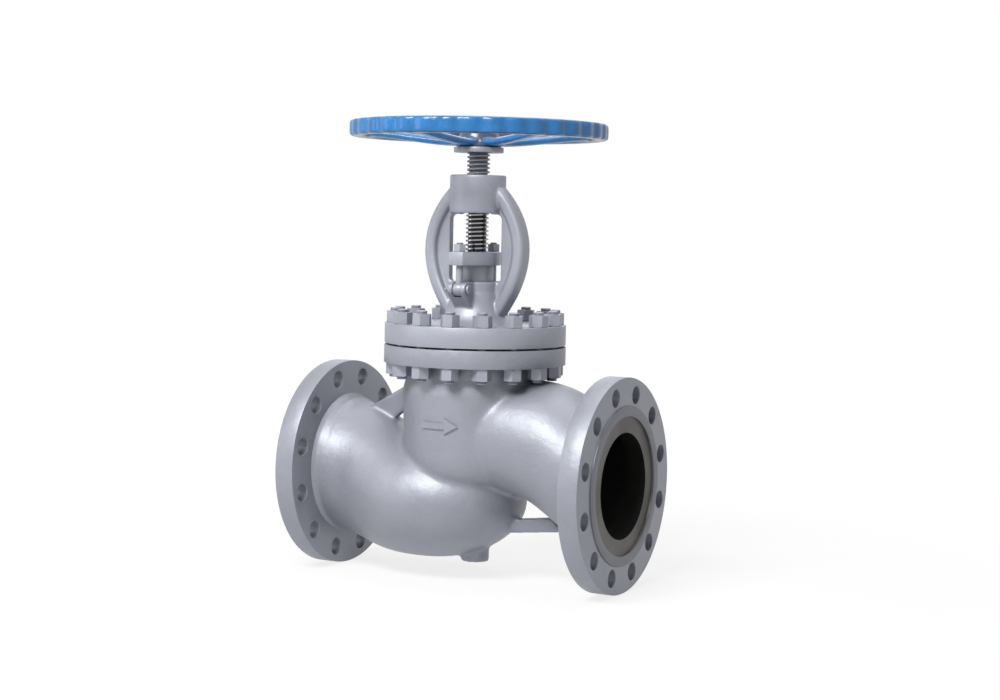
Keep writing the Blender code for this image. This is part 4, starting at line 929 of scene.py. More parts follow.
def graphite():
    """Braided graphite of the packing and the gasket."""
    made = Surface("graphite", (0.03, 0.03, 0.033), 0.6, 0.1)
    braid = made.node("ShaderNodeTexVoronoi", None, {"Vector": made.place, "Scale": 1 / 0.0022})
    made.set("Base Color", made.mix(braid, (0.02, 0.02, 0.022, 1), (0.07, 0.07, 0.075, 1)))
    made.bump(braid, 0.0003)
    return made.material


def with_slots(thing, surfaces, number=0):
    """Give a shape the surfaces, and its faces one of them, so that they keep it when joined or cut."""
    for surface in surfaces:
        thing.data.materials.append(surface)
    for polygon in thing.data.polygons:
        polygon.material_index = number
    return thing


def branch_size(t, form):
    """Half height and half width of a cast branch from its flange, t = 0, to its end, t = 1."""
    height = NECK_RADIUS + (form["half_height"] - NECK_RADIUS) * ease((t - TAPER_FROM) / (1 - TAPER_FROM))
    waist = NECK_RADIUS + (WAIST_HALF_WIDTH - NECK_RADIUS) * ease(t / WAIST_AT)
    return height, waist + (form["half_width"] - WAIST_HALF_WIDTH) * ease((t - WAIST_AT) / (1 - WAIST_AT))


def passage_size(t, form):
    """Half height and half width of the flow passage in the same branch."""
    share = ease(t / PASSAGE_AT)
    return [FLANGE_BORE * (1 - share) + (outer - CAST_WALL) * share for outer in branch_size(t, form)]


def branch(form, hollow=False):
    """A branch on the inlet side, or its passage: upright rings that dip from the flange to a closed dome."""
    size_at = passage_size if hollow else branch_size
    level = (1.0, 0.0)
    start = (-FLANGE_BACK - OVERLAP, 0.0)
    lead, sweep = ((start[0] + along, height) for along, height in (form["lead"], form["sweep"]))
    end = form["end"]
    rings = []
    if hollow:
        rings.append(((start[0] - FLANGE_THICKNESS, start[1]), level, *size_at(0, form)))
    for station in range(BRANCH_STATIONS + 1):
        t = station / BRANCH_STATIONS
        rings.append((bezier((start, lead, sweep, end), t)[0], level, *size_at(t, form)))
    height, width = size_at(1, form)
    reach = form["reach"] - (CAST_WALL if hollow else 0)
    for station in range(1, DOME_STATIONS + 1):
        angle = DOME_END * station / DOME_STATIONS
        share = math.cos(angle)
        rings.append(((end[0] + reach * math.sin(angle), end[1]), level, height * share, width * share))
    return loft(rings, BRANCH_SIDES)


def chamber_core():
    """The upright chamber without its flange."""
    foot = arc(CHAMBER_FOOT, CHAMBER_FOOT_ROUNDING[0], -90, 0, 12, CHAMBER_FOOT_ROUNDING[1])
    top = TOP_FLANGE_BOTTOM + OVERLAP
    return turned([(0, foot[0][1])] + foot + [CHAMBER_BULGE, (CHAMBER_NECK, CHAMBER_NECK_START),
                                              (CHAMBER_NECK, top), (0, top)], WIDE_STEPS)


def neck_root():
    """The fillet round a neck at its pipe flange, about Z with the flange's back at 0."""
    root = settings("valve_castings").root
    curve = arc((NECK_RADIUS + root, -root), root, 180, NECK_ROOT_END, 6)
    end = curve[-1]
    slope = OVERLAP / math.tan(math.radians(180 - NECK_ROOT_END))
    return turned([(0, -2 * root), (NECK_RADIUS - NECK_ROOT_SINK, -2 * root)] + curve
                  + [(end[0] + 3 * slope, end[1] + 3 * OVERLAP), (0, end[1] + 3 * OVERLAP)], WIDE_STEPS)


def pipe_flange():
    """One pipe flange about Z, with its back at 0 and its raised face up."""
    edge = settings("valve_castings").edge
    top = FLANGE_THICKNESS - RAISED_HEIGHT
    floor = FLANGE_THICKNESS - RECESS_DEPTH
    flange = turned([(0, 0), (FLANGE_RADIUS, 0), (FLANGE_RADIUS, top), (RAISED_RADIUS, top),
                     (RAISED_RADIUS, FLANGE_THICKNESS), (RECESS_RADIUS, FLANGE_THICKNESS),
                     (RECESS_RADIUS, floor), (0, floor)], FLANGE_STEPS, edge * 0.6)
    hole = countersunk(BOLT_HOLE_RADIUS, 0, top, BOLT_HOLE_STEPS, edge * 0.5)
    return cut(flange, ring_of(hole, BOLT_HOLES, BOLT_CIRCLE))


def top_flange():
    """The body's flange for the bonnet, still solid but for the gasket's recess."""
    recess = SPIGOT_RADIUS + FIT
    floor = GASKET_FACE - FIT
    return turned([(0, TOP_FLANGE_BOTTOM), (TOP_FLANGE_RADIUS, TOP_FLANGE_BOTTOM),
                   (TOP_FLANGE_RADIUS, TOP_FLANGE_TOP), (recess, TOP_FLANGE_TOP), (recess, floor),
                   (0, floor)], FLANGE_STEPS, settings("valve_castings").edge * 0.7)


def passages():
    """Cutter for the whole flow passage, from face to face through the seat and the chamber."""
    wall = rod(CHAMBER_BULGE[0], -BRIDGE_HALF_THICKNESS, TOP_FLANGE_BOTTOM, ROUND_STEPS)
    outlet_wall = copy_of(wall)
    inlet = cut(branch(INLET_BRANCH, hollow=True), wall)
    outlet = cut(move(branch(OUTLET_BRANCH, hollow=True), HALF_TURN_ABOUT_Y), outlet_wall)
    return join(inlet, outlet, rod(CHAMBER_BORE, BRIDGE_HALF_THICKNESS, TOP_FLANGE_TOP + OVERLAP, WIDE_STEPS),
                rod(SEAT_HOLE, -2 * BRIDGE_HALF_THICKNESS, 2 * BRIDGE_HALF_THICKNESS, WIDE_STEPS))


def stud_holes(bottom, top):
    """Cutter for the studs' holes through one flange of the bonnet joint."""
    return ring_of(rod(STUD_HOLE, bottom - OVERLAP, top + OVERLAP, HOLE_STEPS), STUDS, STUD_CIRCLE)


def flow_arrow():
    """A raised arrow on the front of the chamber that points the way of the flow, bent round the chamber."""
    tail, neck, tip = ARROW_ENDS
    half, head = ARROW_HALF_WIDTHS
    bm = bmesh.new()
    outline = ((tail, -half), (neck, -half), (neck, -head), (tip, 0), (neck, head), (neck, half),
               (tail, half))
    bm.faces.new([bm.verts.new((along, 0, ARROW_HEIGHT + height)) for along, height in outline])
    for strip in range(1, ARROW_STRIPS):
        bmesh.ops.bisect_plane(bm, geom=everything(bm), dist=WELD, plane_no=(1, 0, 0),
                               plane_co=(tail + (tip - tail) * strip / ARROW_STRIPS, 0, 0))
    for vert in bmesh.ops.extrude_face_region(bm, geom=list(bm.faces))["geom"]:
        if isinstance(vert, bmesh.types.BMVert):
            vert.co.y = 1.0
    for vert in bm.verts:
        reach = CHAMBER_RADIUS + (ARROW_RAISED if vert.co.y else -OVERLAP)
        angle = vert.co.x / CHAMBER_RADIUS
        vert.co.x = reach * math.sin(angle)
        vert.co.y = -reach * math.cos(angle)
    return to_object(bm)


def on_joint_face(centre):
    """Whether a face lies on a pipe flange's raised face or in its recess."""
    near_face = abs(centre.x) > FACE - RECESS_DEPTH - OVERLAP
    return near_face and math.hypot(centre.y, centre.z) < RAISED_RADIUS + FIT


class VALVE_OT_body_casting(bpy.types.Operator):
    """Model the body casting: chamber, branches, ribs, boss and flanges, hollow through the seat"""

    bl_idname = "valve.body_casting"
    bl_label = "Body casting"

    def execute(self, context):
        sizes = settings("valve_castings")
        inlet = at(-FLANGE_BACK, 0, 0) @ Z_TO_X.inverted()
        outlet = at(FLANGE_BACK, 0, 0) @ Z_TO_X
        core = together(chamber_core(), branch(INLET_BRANCH), move(branch(OUTLET_BRANCH), HALF_TURN_ABOUT_Y))
        recast(core, sizes.body_grid * CORE_GRID_SHARE, sizes.crease)
        ribs = [plate(outline, RIB_HALF_THICKNESS, RIB_EDGE) for outline in (UPPER_RIB, LOWER_RIB)]
        boss = move(rod(BOSS_RADIUS, BOSS_FACE, BOSS_ROOT, BAR_STEPS), at(BOSS_X, 0, 0))
        core = together(core, *ribs, boss, move(neck_root(), inlet), move(neck_root(), outlet))
        recast(core, sizes.body_grid, sizes.skin)
        surfaces = [silver_paint("silver paint on the body", 0.0032, 0.00034), shaded_passage_surface(),
                    machined_face()]
        passage_slot, face_slot = 1, 2
        flanges = together(move(pipe_flange(), inlet), move(pipe_flange(), outlet), top_flange(),
                           flow_arrow())
        casting = join(with_slots(core, surfaces), with_slots(flanges, surfaces))
        cut(casting, with_slots(passages(), surfaces, passage_slot),
            with_slots(stud_holes(TOP_FLANGE_BOTTOM, TOP_FLANGE_TOP), surfaces))
        for polygon in casting.data.polygons:
            if polygon.material_index == 0 and on_joint_face(polygon.center):
                polygon.material_index = face_slot
        finish(weld(casting), "body_casting", "valve_body", ["body"])
        return {"FINISHED"}


def bonnet_neck():
    """The hollowed neck and the stuffing box above the bonnet's flange."""
    neck = bezier_points(NECK_CURVE, 12)
    foot = (NECK_CURVE[0][0] + NECK_FOOT_OUT, BONNET_FLANGE_TOP - NECK_FOOT_SINK)
    return turned([(0, foot[1]), foot] + neck[1:] + [(BOX_RADIUS, BOX_TOP), (0, BOX_TOP)], WIDE_STEPS)


def yoke_arm():
    """The rounded rib of the right-hand arm."""
    rings = []
    for station in range(ARM_STATIONS + 1):
        place, direction = bezier(ARM_CURVE, station / ARM_STATIONS)
        rings.append((place, direction, ARM_HALF_DEPTH, ARM_HALF_WIDTH))
    return loft(rings, ARM_SIDES, ARM_SQUARENESS)


def yoke_web():
    """The flat web between the two ribs, with the window for the gland and the stem."""
    side = bezier_points(ARM_CURVE, ARM_STATIONS)
    web = plate(side + [(-x, z) for x, z in reversed(side)], WEB_HALF_THICKNESS)
    x = WINDOW_HALF_WIDTH - WINDOW_CORNER
    low, high = WINDOW_BOTTOM + WINDOW_CORNER, WINDOW_TOP - WINDOW_CORNER
    window = []
    for quarter, centre in enumerate(((x, high), (-x, high), (-x, low), (x, low))):
        window += arc(centre, WINDOW_CORNER, 90 * quarter, 90 * quarter + 90, 6)
    return cut(web, plate(window, 2 * WEB_HALF_THICKNESS))


def lug():
    """The lug for the front eyebolt, before its slot and pin hole."""
    bottom = LUG_PIN_HEIGHT - LUG_DEPTH
    outline = [(-BOX_BORE, LUG_PIN_HEIGHT + LUG_RADIUS)]
    outline += arc((-LUG_REACH, LUG_PIN_HEIGHT), LUG_RADIUS, 90, 225, 16)
    outline += [(-LUG_ROOT, bottom), (-BOX_BORE, bottom)]
    return move(plate(outline, LUG_HALF_WIDTH, LUG_EDGE), X_TO_Y)


def lug_cutters():
    """Cutters for the front lug's slot and pin hole."""
    reach = EYE_RADIUS + EYE_ROOM
    slot = block((-LUG_SLOT, -LUG_REACH - 2 * LUG_RADIUS, LUG_PIN_HEIGHT - reach),
                 (LUG_SLOT, -LUG_REACH + reach - FIT, LUG_PIN_HEIGHT + 2 * LUG_RADIUS))
    hole = move(rod(PIN_RADIUS + FIT, -2 * LUG_HALF_WIDTH, 2 * LUG_HALF_WIDTH, HOLE_STEPS),
                at(0, -LUG_REACH, LUG_PIN_HEIGHT) @ Z_TO_X)
    return join(slot, hole)


def bonnet_flange():
    """The bonnet's flange and spigot, still solid."""
    return turned([(0, BONNET_LOW.z), (SPIGOT_RADIUS, BONNET_LOW.z), (SPIGOT_RADIUS, BONNET_FLANGE_BOTTOM),
                   (BONNET_FLANGE_RADIUS, BONNET_FLANGE_BOTTOM), (BONNET_FLANGE_RADIUS, BONNET_FLANGE_TOP),
                   (0, BONNET_FLANGE_TOP)], FLANGE_STEPS, settings("valve_castings").edge)


def bonnet_hollow():
    """Cutter for the roof over the chamber, the bush's bore and the stuffing box."""
    low, high = BONNET_LOW.z - OVERLAP, BOX_TOP + OVERLAP
    return turned([(0, low), (SPIGOT_BORE, low), (SPIGOT_BORE, BONNET_LOW.z),
                   (SPIGOT_BORE - ROOF_CORNER, BONNET_ROOF), (BUSH_HOLE, BONNET_ROOF), (BUSH_HOLE, BOX_FLOOR),
                   (BOX_BORE, BOX_FLOOR), (BOX_BORE, high), (0, high)], ROUND_STEPS)


def hub_bore():
    """Cutter for the stepped bore of the yoke's nut."""
    low, high = HUB_BOTTOM - OVERLAP, HUB_TOP + OVERLAP
    return turned([(0, low), (HUB_NUT_LIP_HOLE, low), (HUB_NUT_LIP_HOLE, HUB_NUT_LIP_TOP),
                   (HUB_NUT_HOLE, HUB_NUT_LIP_TOP), (HUB_NUT_HOLE, high), (0, high)], ROUND_STEPS)


class VALVE_OT_bonnet_casting(bpy.types.Operator):
    """Model the bonnet casting with its neck, lugs, yoke arms and hub"""

    bl_idname = "valve.bonnet_casting"
    bl_label = "Bonnet and yoke casting"

    def execute(self, context):
        sizes = settings("valve_castings")
        hub = sleeve(0, HUB_RADIUS, HUB_BOTTOM, HUB_TOP, WIDE_STEPS, HUB_EDGE)
        core = together(bonnet_neck(), yoke_web(), yoke_arm(), move(yoke_arm(), HALF_TURN_ABOUT_Z), hub,
                        lug(), move(lug(), HALF_TURN_ABOUT_Z))
        recast(core, sizes.bonnet_grid, sizes.skin)
        # The bonnet's paint is the body's paint made lighter, as painted light.
        surfaces = [silver_paint("silver paint on the bonnet", 0.0022, 0.00014, 1.16), shaded_passage_surface()]
        passage_slot = 1
        casting = join(with_slots(core, surfaces), with_slots(bonnet_flange(), surfaces))
        screw = move(rod(HUB_SCREW_HOLE, HUB_NUT_HOLE - OVERLAP, HUB_RADIUS + OVERLAP, STUD_STEPS),
                     at(0, 0, HUB_SCREW_HEIGHT) @ Z_TO_BACK)
        openings = together(lug_cutters(), move(lug_cutters(), HALF_TURN_ABOUT_Z),
                            stud_holes(BONNET_FLANGE_BOTTOM, BONNET_FLANGE_TOP))
        cut(casting, with_slots(openings, surfaces), with_slots(bonnet_hollow(), surfaces, passage_slot),
            with_slots(hub_bore(), surfaces, passage_slot), with_slots(screw, surfaces))
        finish(weld(casting), "bonnet_casting", "valve_body", ["bonnet_yoke"])
        return {"FINISHED"}


def stud_bar(bottom, top):
    """A stud about Z, with a few turned grooves for the threads that show at its ends."""
    pitch = settings("valve_fasteners").stud_pitch
    upper = [(0, top), (STUD_RADIUS - STUD_CHAMFER, top)]
    for groove in range(STUD_GROOVES):
        height = top - STUD_CHAMFER - groove * pitch
        upper += [(STUD_RADIUS, height), (STUD_RADIUS, height - STUD_GROOVE_SHARES[0] * pitch),
                  (STUD_RADIUS - STUD_GROOVE, height - STUD_GROOVE_SHARES[1] * pitch)]
    lower = [(radius, bottom + top - z) for radius, z in reversed(upper)]
    return turned(upper + lower, STUD_STEPS)


class VALVE_OT_bonnet_studs(bpy.types.Operator):
    """Model the studs of the bonnet joint with their chamfered nuts"""

    bl_idname = "valve.bonnet_studs"
    bl_label = "Bonnet studs"

    def execute(self, context):
        chamfer = settings("valve_fasteners").nut_chamfer
        low_top = TOP_FLANGE_BOTTOM - FIT
        high_bottom = BONNET_FLANGE_TOP + FIT
        stud = join(stud_bar(STUD_LOW.z, STUD_HIGH.z),
                    nut(STUD_NUT, low_top - STUD_NUT_HEIGHT, low_top, chamfer),
                    nut(STUD_NUT, high_bottom, high_bottom + STUD_NUT_HEIGHT, chamfer))
        studs = ring_of(move(stud, about_z(HEX_TURN)), STUDS, STUD_CIRCLE)
        # The studs' paint is the body's paint made lighter, as painted light.
        finish(studs, "bonnet_studs", "valve_body",
               [f"bonnet_stud_{number + 1:02d}" for number in range(STUDS)],
               silver_paint("silver paint on studs", 0.0014, 0.00006, 1.18))
        return {"FINISHED"}


def gland_outline():
    """The gland's outline in plan: narrow ends at the eyebolts and a rounded middle."""
    end = GLAND_HIGH.y
    waist = arc((0, 0), GLAND_WAIST_RADIUS, -GLAND_WAIST_ANGLE, GLAND_WAIST_ANGLE, 12)
    right = [(GLAND_END_HALF_WIDTH, -end)] + waist + [(GLAND_END_HALF_WIDTH, end)]
    return right + [(-x, -y) for x, y in right]


def gland_hole(radius, reach, steps):
    """Cutter for a hole through the gland."""
    return move(rod(radius, GLAND_LOW.z - OVERLAP, GLAND_HIGH.z + OVERLAP, steps), at(0, reach, 0))


class VALVE_OT_gland(bpy.types.Operator):
    """Model the gland flange and the follower under it"""

    bl_idname = "valve.gland"
    bl_label = "Gland"

    def execute(self, context):
        # The gland's paint is the body's paint made lighter, as painted light.
        paint = silver_paint("silver paint on the gland", 0.0018, 0.00010, 1.14)
        half = (GLAND_HIGH.z - GLAND_LOW.z) / 2
        flange = move(plate(gland_outline(), half, GLAND_EDGE), at(0, 0, GLAND_LOW.z + half) @ Z_TO_FRONT)
        cut(flange, gland_hole(STEM_BORE, 0, BAR_STEPS), gland_hole(GLAND_HOLE, LUG_REACH, PIN_STEPS),
            gland_hole(GLAND_HOLE, -LUG_REACH, PIN_STEPS))
        finish(weld(flange), "gland_plate", "valve_body", ["gland_flange"], paint)
        follower = sleeve(STEM_BORE, FOLLOWER_HIGH.y, FOLLOWER_LOW.z, FOLLOWER_HIGH.z, edge=FOLLOWER_EDGE)
        finish(follower, "gland_sleeve", "valve_body", ["gland_follower"], paint)
        return {"FINISHED"}


def eyebolt():
    """The front eyebolt, about its pin: a rounded eye, a plain shank and a screwed end."""
    pitch = settings("valve_fasteners").stud_pitch
    bolt = move(sleeve(0, EYE_RADIUS, -EYE_HALF_WIDTH, EYE_HALF_WIDTH, EYE_STEPS, EYE_EDGE), Z_TO_X)
    thread_from = GLAND_LOW.z - EYEBOLT_THREAD_BELOW_GLAND - LUG_PIN_HEIGHT
    screw = screwed(EYEBOLT_RADIUS, EYEBOLT_THREAD_DEPTH, pitch, thread_from, EYEBOLT_TOP - LUG_PIN_HEIGHT,
                    HOLE_STEPS)
    join(bolt, rod(EYEBOLT_RADIUS - FIT, 0, thread_from + OVERLAP, PIN_STEPS), screw)
    return cut(bolt, move(rod(PIN_RADIUS + FIT, -EYE_RADIUS, EYE_RADIUS, HOLE_STEPS), Z_TO_X))


def wire_ring(radius, wire):
    """A ring of round wire about Z."""
    bm = bmesh.new()
    bmesh.ops.create_circle(bm, segments=8, radius=wire, matrix=at(radius, 0, 0) @ Z_TO_FRONT)
    spin_round(bm, list(bm.verts) + list(bm.edges), 20)
    return to_object(bm)


def eyebolt_pin():
    """The headed pin through a lug with its split pin."""
    ear = LUG_HALF_WIDTH + FIT
    end, head = -ear - PIN_PAST_LUG, ear + PIN_HEAD_HEIGHT
    pin = turned([(0, end), (PIN_RADIUS, end), (PIN_RADIUS, ear), (PIN_HEAD_RADIUS, ear),
                  (PIN_HEAD_RADIUS, head), (0, head)], PIN_STEPS, PIN_EDGE)
    split = together(rod(SPLIT_WIRE, *SPLIT_LEGS, 10),
                     move(wire_ring(SPLIT_EYE, SPLIT_WIRE), at(0, 0, SPLIT_EYE_HEIGHT) @ Z_TO_FRONT))
    move(split, at(0, 0, -ear - SPLIT_PAST_LUG) @ Z_TO_FRONT @ X_TO_Y)
    return move(together(pin, split), Z_TO_X)


def gland_nut():
    """The front eyebolt's nut, about the eyebolt's pin."""
    bottom, top = (height - LUG_PIN_HEIGHT for height in (GLAND_NUT_LOW.z, GLAND_NUT_HIGH.z))
    bored = rod(EYEBOLT_RADIUS + FIT, bottom - OVERLAP, top + OVERLAP, PIN_STEPS)
    return cut(nut(GLAND_NUT, bottom, top, GLAND_NUT_CHAMFER), bored)


class VALVE_OT_eyebolts(bpy.types.Operator):
    """Model the two eyebolts with their pins and nuts"""

    bl_idname = "valve.eyebolts"
    bl_label = "Eyebolts"

    def execute(self, context):
        # The eyebolts' paint is the body's paint made lighter, as painted light.
        paint = silver_paint("silver paint on eyebolts", 0.0014, 0.00006, 1.18)
        front = at(0, -LUG_REACH, LUG_PIN_HEIGHT)
        shapes = {"eyebolt": weld(eyebolt()), "eyebolt_pin": eyebolt_pin(), "gland_nut": weld(gland_nut())}
        for node, shape in shapes.items():
            for side, place in (("front", front), ("back", HALF_TURN_ABOUT_Z @ front)):
                finish(copy_of(shape, place), f"{node}_{side}_fine", "valve_body",
                       [f"{node}_{side}"], paint)
            bpy.data.objects.remove(shape)
        return {"FINISHED"}


class VALVE_OT_stem(bpy.types.Operator):
    """Model the stem with its head, its back seat collar and its trapezoidal thread"""

    bl_idname = "valve.stem"
    bl_label = "Stem"

    def execute(self, context):
        sizes = settings("valve_fasteners")
        foot, end = STEM_LOW.z, STEM_HIGH.z
        head_top = foot + STEM_HEAD_HEIGHT
        undercut = STEM_THREAD_LOW + sizes.stem_depth
        seat_start = STEM_THREAD_HIGH - STEM_THREAD_LAP
        lower = turned([(0, foot), (STEM_HEAD_RADIUS - STEM_HEAD_CHAMFER, foot),
                        (STEM_HEAD_RADIUS, foot + STEM_HEAD_CHAMFER), (STEM_HEAD_RADIUS, head_top),
                        (STEM_RADIUS, head_top), (STEM_RADIUS, BACK_SEAT_LOW),
                        (BACK_SEAT_RADIUS, BACK_SEAT_LOW + BACK_SEAT_CHAMFERS[0]),
                        (BACK_SEAT_RADIUS, BACK_SEAT_HIGH - BACK_SEAT_CHAMFERS[1]),
                        (STEM_RADIUS, BACK_SEAT_HIGH), (STEM_RADIUS, STEM_THREAD_LOW),
                        (STEM_RADIUS - sizes.stem_depth, undercut), (0, undercut)], ROUND_STEPS)
        screw = screwed(STEM_RADIUS, sizes.stem_depth, sizes.stem_pitch, STEM_THREAD_LOW + STEM_THREAD_LAP,
                        STEM_THREAD_HIGH, BAR_STEPS)
        upper = turned([(0, seat_start), (WHEEL_SEAT, seat_start), (WHEEL_SEAT, end - STEM_END_CHAMFER),
                        (WHEEL_SEAT - STEM_END_CHAMFER, end), (0, end)], ROUND_STEPS)
        keyway = block((KEY_REACH - KEY_HEIGHT, -KEY_HALF_WIDTH, WHEEL_LOW.z - FIT),
                       (KEY_REACH, KEY_HALF_WIDTH, WHEEL_HIGH.z))
        stem = cut(join(lower, screw, upper), keyway)
        finish(weld(stem), "stem_screw", "turning_stem", ["stem"], stem_steel())
        return {"FINISHED"}


def wheel_rim():
    """The rim: a rounded ring whose outer half is drawn in between the grips."""
    sizes = settings("valve_wheel")
    half_width, half_height = RIM_WIDTH / 2, RIM_HEIGHT / 2
    middle = WHEEL_RADIUS - half_width
    bm = bmesh.new()
    verts = bmesh.ops.create_circle(bm, segments=RIM_CORNERS, radius=1,
                                    matrix=at(middle, 0, WHEEL_MIDDLE) @ Z_TO_FRONT)["verts"]
    for vert in verts:
        angle = math.atan2(vert.co.z - WHEEL_MIDDLE, vert.co.x - middle)
        vert.co.x = middle + half_width * squared(math.cos(angle), RIM_SQUARENESS)
        vert.co.z = WHEEL_MIDDLE + half_height * squared(math.sin(angle), RIM_SQUARENESS)
    spin_round(bm, verts + list(bm.edges), GRIPS * GRIP_STEPS)
    for vert in bm.verts:
        radius = math.hypot(vert.co.x, vert.co.y)
        wave = (0.5 + 0.5 * math.cos(GRIPS * math.atan2(vert.co.y, vert.co.x))) ** (1 / sizes.grip_roundness)
        share = max(0.0, (radius - middle) / half_width)
        vert.co.xy *= 1 - sizes.grip_depth * wave * share / radius
    return to_object(bm)


def wheel_spoke():
    """One spoke along +X, flat at the hub and rising to the rim, and wider at both ends."""
    start, end = SPOKE_ENDS
    low, high = SPOKE_HEIGHTS
    curve = ((start, low), (start + SPOKE_LEADS[0], low - SPOKE_DISH),
             (end - SPOKE_LEADS[1], high - SPOKE_DISH), (end, high))
    rings = []
    for station in range(SPOKE_STATIONS + 1):
        t = station / SPOKE_STATIONS
        place, direction = bezier(curve, t)
        root = SPOKE_ROOT * (ease(1 - 4 * t) + ease(4 * t - 3))
        half_width = SPOKE_HALF_WIDTH - SPOKE_WAIST * math.sin(math.pi * t) + root
        rings.append((place, direction, SPOKE_HALF_THICKNESS, half_width))
    return loft(rings, SPOKE_SIDES)


class VALVE_OT_handwheel(bpy.types.Operator):
    """Model the handwheel: scalloped rim, dished spokes and hub in one casting"""

    bl_idname = "valve.handwheel"
    bl_label = "Handwheel"

    def execute(self, context):
        sizes = settings("valve_castings")
        low, high = WHEEL_LOW.z, KEY_TOP
        hub = turned([(0, low), (WHEEL_HUB_RADIUS + WHEEL_HUB_TAPER, low),
                      (WHEEL_HUB_RADIUS - WHEEL_HUB_TAPER, high), (0, high)], ROUND_STEPS, HUB_EDGE)
        spokes = [move(wheel_spoke(), about_z(FIRST_SPOKE + 2 * math.pi * number / SPOKES))
                  for number in range(SPOKES)]
        wheel = recast(together(wheel_rim(), hub, *spokes), sizes.wheel_grid, sizes.skin)
        cut(wheel, rod(WHEEL_SEAT + FIT, low - OVERLAP, high + OVERLAP, BAR_STEPS),
            block((0, -KEY_HALF_WIDTH, low - OVERLAP), (KEY_REACH, KEY_HALF_WIDTH, high + OVERLAP)))
        finish(weld(wheel), "wheel_casting", "turning_stem", ["handwheel"], blue_enamel())
        return {"FINISHED"}


class VALVE_OT_wheel_fixings(bpy.types.Operator):
    """Model the plate under the wheel, and the washer and nut on top of it"""

    bl_idname = "valve.wheel_fixings"
    bl_label = "Wheel fixings"

    def execute(self, context):
        bore = WHEEL_SEAT + FIT
        # The plate's paint is the body's paint made darker, as painted shade under the wheel.
        paint = silver_paint("silver paint on the wheel plate", 0.0014, 0.00008, 0.92)
        steel = plain_metal("zinc steel", (0.42, 0.42, 0.42), 0.34, 0.95)
        collar = sleeve(bore, PLATE_HIGH.y, PLATE_LOW.z, PLATE_HIGH.z, WIDE_STEPS, PLATE_EDGE)
        finish(collar, "collar_plate", "turning_stem", ["wheel_plate"], paint)
        washer = sleeve(bore, WASHER_HIGH.y, WASHER_LOW.z, WASHER_HIGH.z, edge=WASHER_EDGE)
        finish(washer, "top_washer", "turning_stem", ["wheel_washer"], steel)
        low, high = WHEEL_NUT_LOW.z, WHEEL_NUT_HIGH.z
        top_nut = cut(nut(WHEEL_NUT, low, high, WHEEL_NUT_CHAMFER),
                      countersunk(bore, low, high, BAR_STEPS, WHEEL_NUT_MOUTH))
        finish(weld(top_nut), "top_nut", "turning_stem", ["wheel_nut"], steel)
        return {"FINISHED"}


class VALVE_OT_inner_parts(bpy.types.Operator):
    """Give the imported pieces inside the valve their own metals"""

    bl_idname = "valve.inner_parts"
    bl_label = "Inner parts"

    def execute(self, context):
        alloy = plain_metal("seat alloy", (0.50, 0.49, 0.47), 0.28, 1.0)
        bronze = plain_metal("bronze", (0.50, 0.33, 0.14), 0.34, 1.0)
        steel = plain_metal("turned steel", (0.30, 0.30, 0.31), 0.32, 1.0)
        packing = graphite()
        surfaces = {"seat_ring": alloy, "disc": alloy, "back_seat_bush": alloy, "yoke_nut": bronze,
                    "disc_nut": steel, "wheel_key": steel, "yoke_nut_screw": steel, "bonnet_gasket": packing}
        surfaces.update({f"packing_ring_{number}": packing for number in range(1, 6)})
        for node, surface in surfaces.items():
            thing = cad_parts[node]
            thing.data.materials.clear()
            thing.data.materials.append(surface)
        return {"FINISHED"}


def pale_floor():
    """A floor that keeps the valve's shadow, and is white away from it to the camera and in metal."""
    made = Surface("pale floor", (0.90, 0.90, 0.91), 0.9, 0.0)
    x, y, _ = made.axes()
    away = from_axis(x, y).between(FLOOR_WHITE_FROM, FLOOR_WHITE_TO)
    dull = Value(made, made.shader.outputs[0])
    white = made.node("ShaderNodeEmission")
    mixed = made.node("ShaderNodeMixShader", None, {0: made.seen() * (0.80 + 0.20 * away), 1: dull, 2: white})
    made.feed(made.tree.nodes["Material Output"].inputs["Surface"], mixed)
    return made.material


def surround(strength):
    """A world that is white to the camera and in metal, and lights dull surfaces softly."""
    world = bpy.data.worlds.new("surround")
    bpy.context.scene.world = world
    world.use_nodes = True
    world.node_tree.nodes.clear()
    nodes = Nodes(world.node_tree)
    light = nodes.node("ShaderNodeBackground", None, {"Color": (1, 1, 1, 1),
                                                      "Strength": strength + (1 - strength) * nodes.seen()})
    output = nodes.tree.nodes.new("ShaderNodeOutputWorld")
    nodes.feed(output.inputs["Surface"], light)


def soft_lamp(name, place, width, height, power):
    """A rectangular soft lamp that looks at the middle of the valve."""
    lamp = bpy.data.lights.new(name, "AREA")
    lamp.shape = "RECTANGLE"
    lamp.size = width
    lamp.size_y = height
    lamp.energy = power
    made = linked(name, lamp)
    made.location = place
    made.rotation_mode = "QUATERNION"
    made.rotation_quaternion = (Vector((0, 0, LOOK_HEIGHT)) - Vector(place)).to_track_quat("-Z", "Y")


def photograph_camera(sizes):
    """The camera at the photograph's viewing angle."""
    yaw, pitch, roll = sizes.yaw, sizes.pitch, sizes.roll
    forward = Vector((-math.sin(yaw) * math.cos(pitch), math.cos(yaw) * math.cos(pitch), -math.sin(pitch)))
    level = Vector((math.cos(yaw), math.sin(yaw), 0))
    upright = level.cross(forward)
    right = level * math.cos(roll) + upright * math.sin(roll)
    up = upright * math.cos(roll) - level * math.sin(roll)
    focus = Vector((0, 0, LOOK_HEIGHT)) + right * LOOK_RIGHT + up * LOOK_UP
    camera = linked("camera", bpy.data.cameras.new("camera"))
    camera.data.lens = sizes.lens
    camera.data.clip_end = 100
    turn = Matrix((right, up, -forward)).transposed().to_4x4()
    camera.matrix_world = Matrix.Translation(focus - forward * sizes.distance) @ turn
    return camera


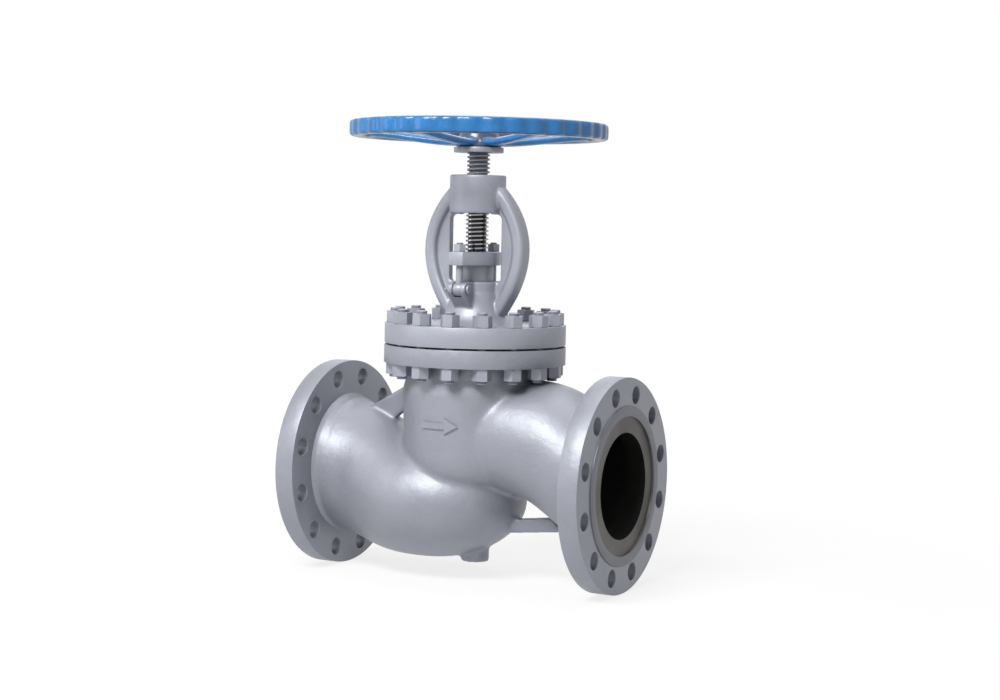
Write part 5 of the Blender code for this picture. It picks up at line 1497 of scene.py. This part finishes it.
class VALVE_OT_stage(bpy.types.Operator):
    """Set the camera, the pale floor and the soft lamps"""

    bl_idname = "valve.stage"
    bl_label = "Stage"

    def execute(self, context):
        sizes = settings("valve_stage")
        context.scene.camera = photograph_camera(sizes)
        bm = bmesh.new()
        bmesh.ops.create_circle(bm, cap_ends=True, segments=WIDE_STEPS, radius=FLOOR_RADIUS,
                                matrix=at(0, 0, CAD_LOW.z - FIT))
        floor = to_object(bm, "floor")
        floor.data.materials.append(pale_floor())
        soft_lamp("key lamp", (-0.1, -2.3, 2.3), 1.5, 0.9, sizes.key_power)
        soft_lamp("side lamp", (-2.2, -1.8, 0.9), 0.7, 1.6, sizes.side_power)
        soft_lamp("top lamp", (0.2, 0.6, 2.6), 1.8, 1.8, sizes.top_power)
        soft_lamp("back lamp", (-1.4, 2.4, 1.6), 1.4, 1.4, sizes.side_power * 0.7)
        surround(sizes.daylight)
        context.scene.view_settings.view_transform = "Standard"
        return {"FINISHED"}


class VALVE_PT_panel(bpy.types.Panel):
    """Lists the valve's pieces"""

    bl_idname = "VALVE_PT_panel"
    bl_label = "Globe valve"
    bl_space_type = "VIEW_3D"
    bl_region_type = "UI"
    bl_category = "Valve"

    def draw(self, context):
        for operator in OPERATORS:
            self.layout.operator(operator.bl_idname)


GROUPS = {"valve_castings": CastingSizes, "valve_fasteners": FastenerSizes, "valve_wheel": WheelSizes,
          "valve_finishes": Finishes, "valve_stage": StageSizes}
OPERATORS = (VALVE_OT_stage, VALVE_OT_body_casting, VALVE_OT_bonnet_casting, VALVE_OT_bonnet_studs,
             VALVE_OT_gland, VALVE_OT_eyebolts, VALVE_OT_stem, VALVE_OT_handwheel, VALVE_OT_wheel_fixings,
             VALVE_OT_inner_parts)


def register():
    """Add the property groups, the operators and the panel."""
    for name, group in GROUPS.items():
        bpy.utils.register_class(group)
        setattr(bpy.types.Scene, name, PointerProperty(type=group))
    for shown in (*OPERATORS, VALVE_PT_panel):
        bpy.utils.register_class(shown)


def unregister():
    """Take them away again."""
    for shown in (VALVE_PT_panel, *reversed(OPERATORS)):
        bpy.utils.unregister_class(shown)
    for name, group in GROUPS.items():
        delattr(bpy.types.Scene, name)
        bpy.utils.unregister_class(group)


def main():
    """Make every piece in order."""
    register()
    for operator in OPERATORS:
        group, action = operator.bl_idname.split(".")
        getattr(getattr(bpy.ops, group), action)()


if __name__ == "__main__":
    main()
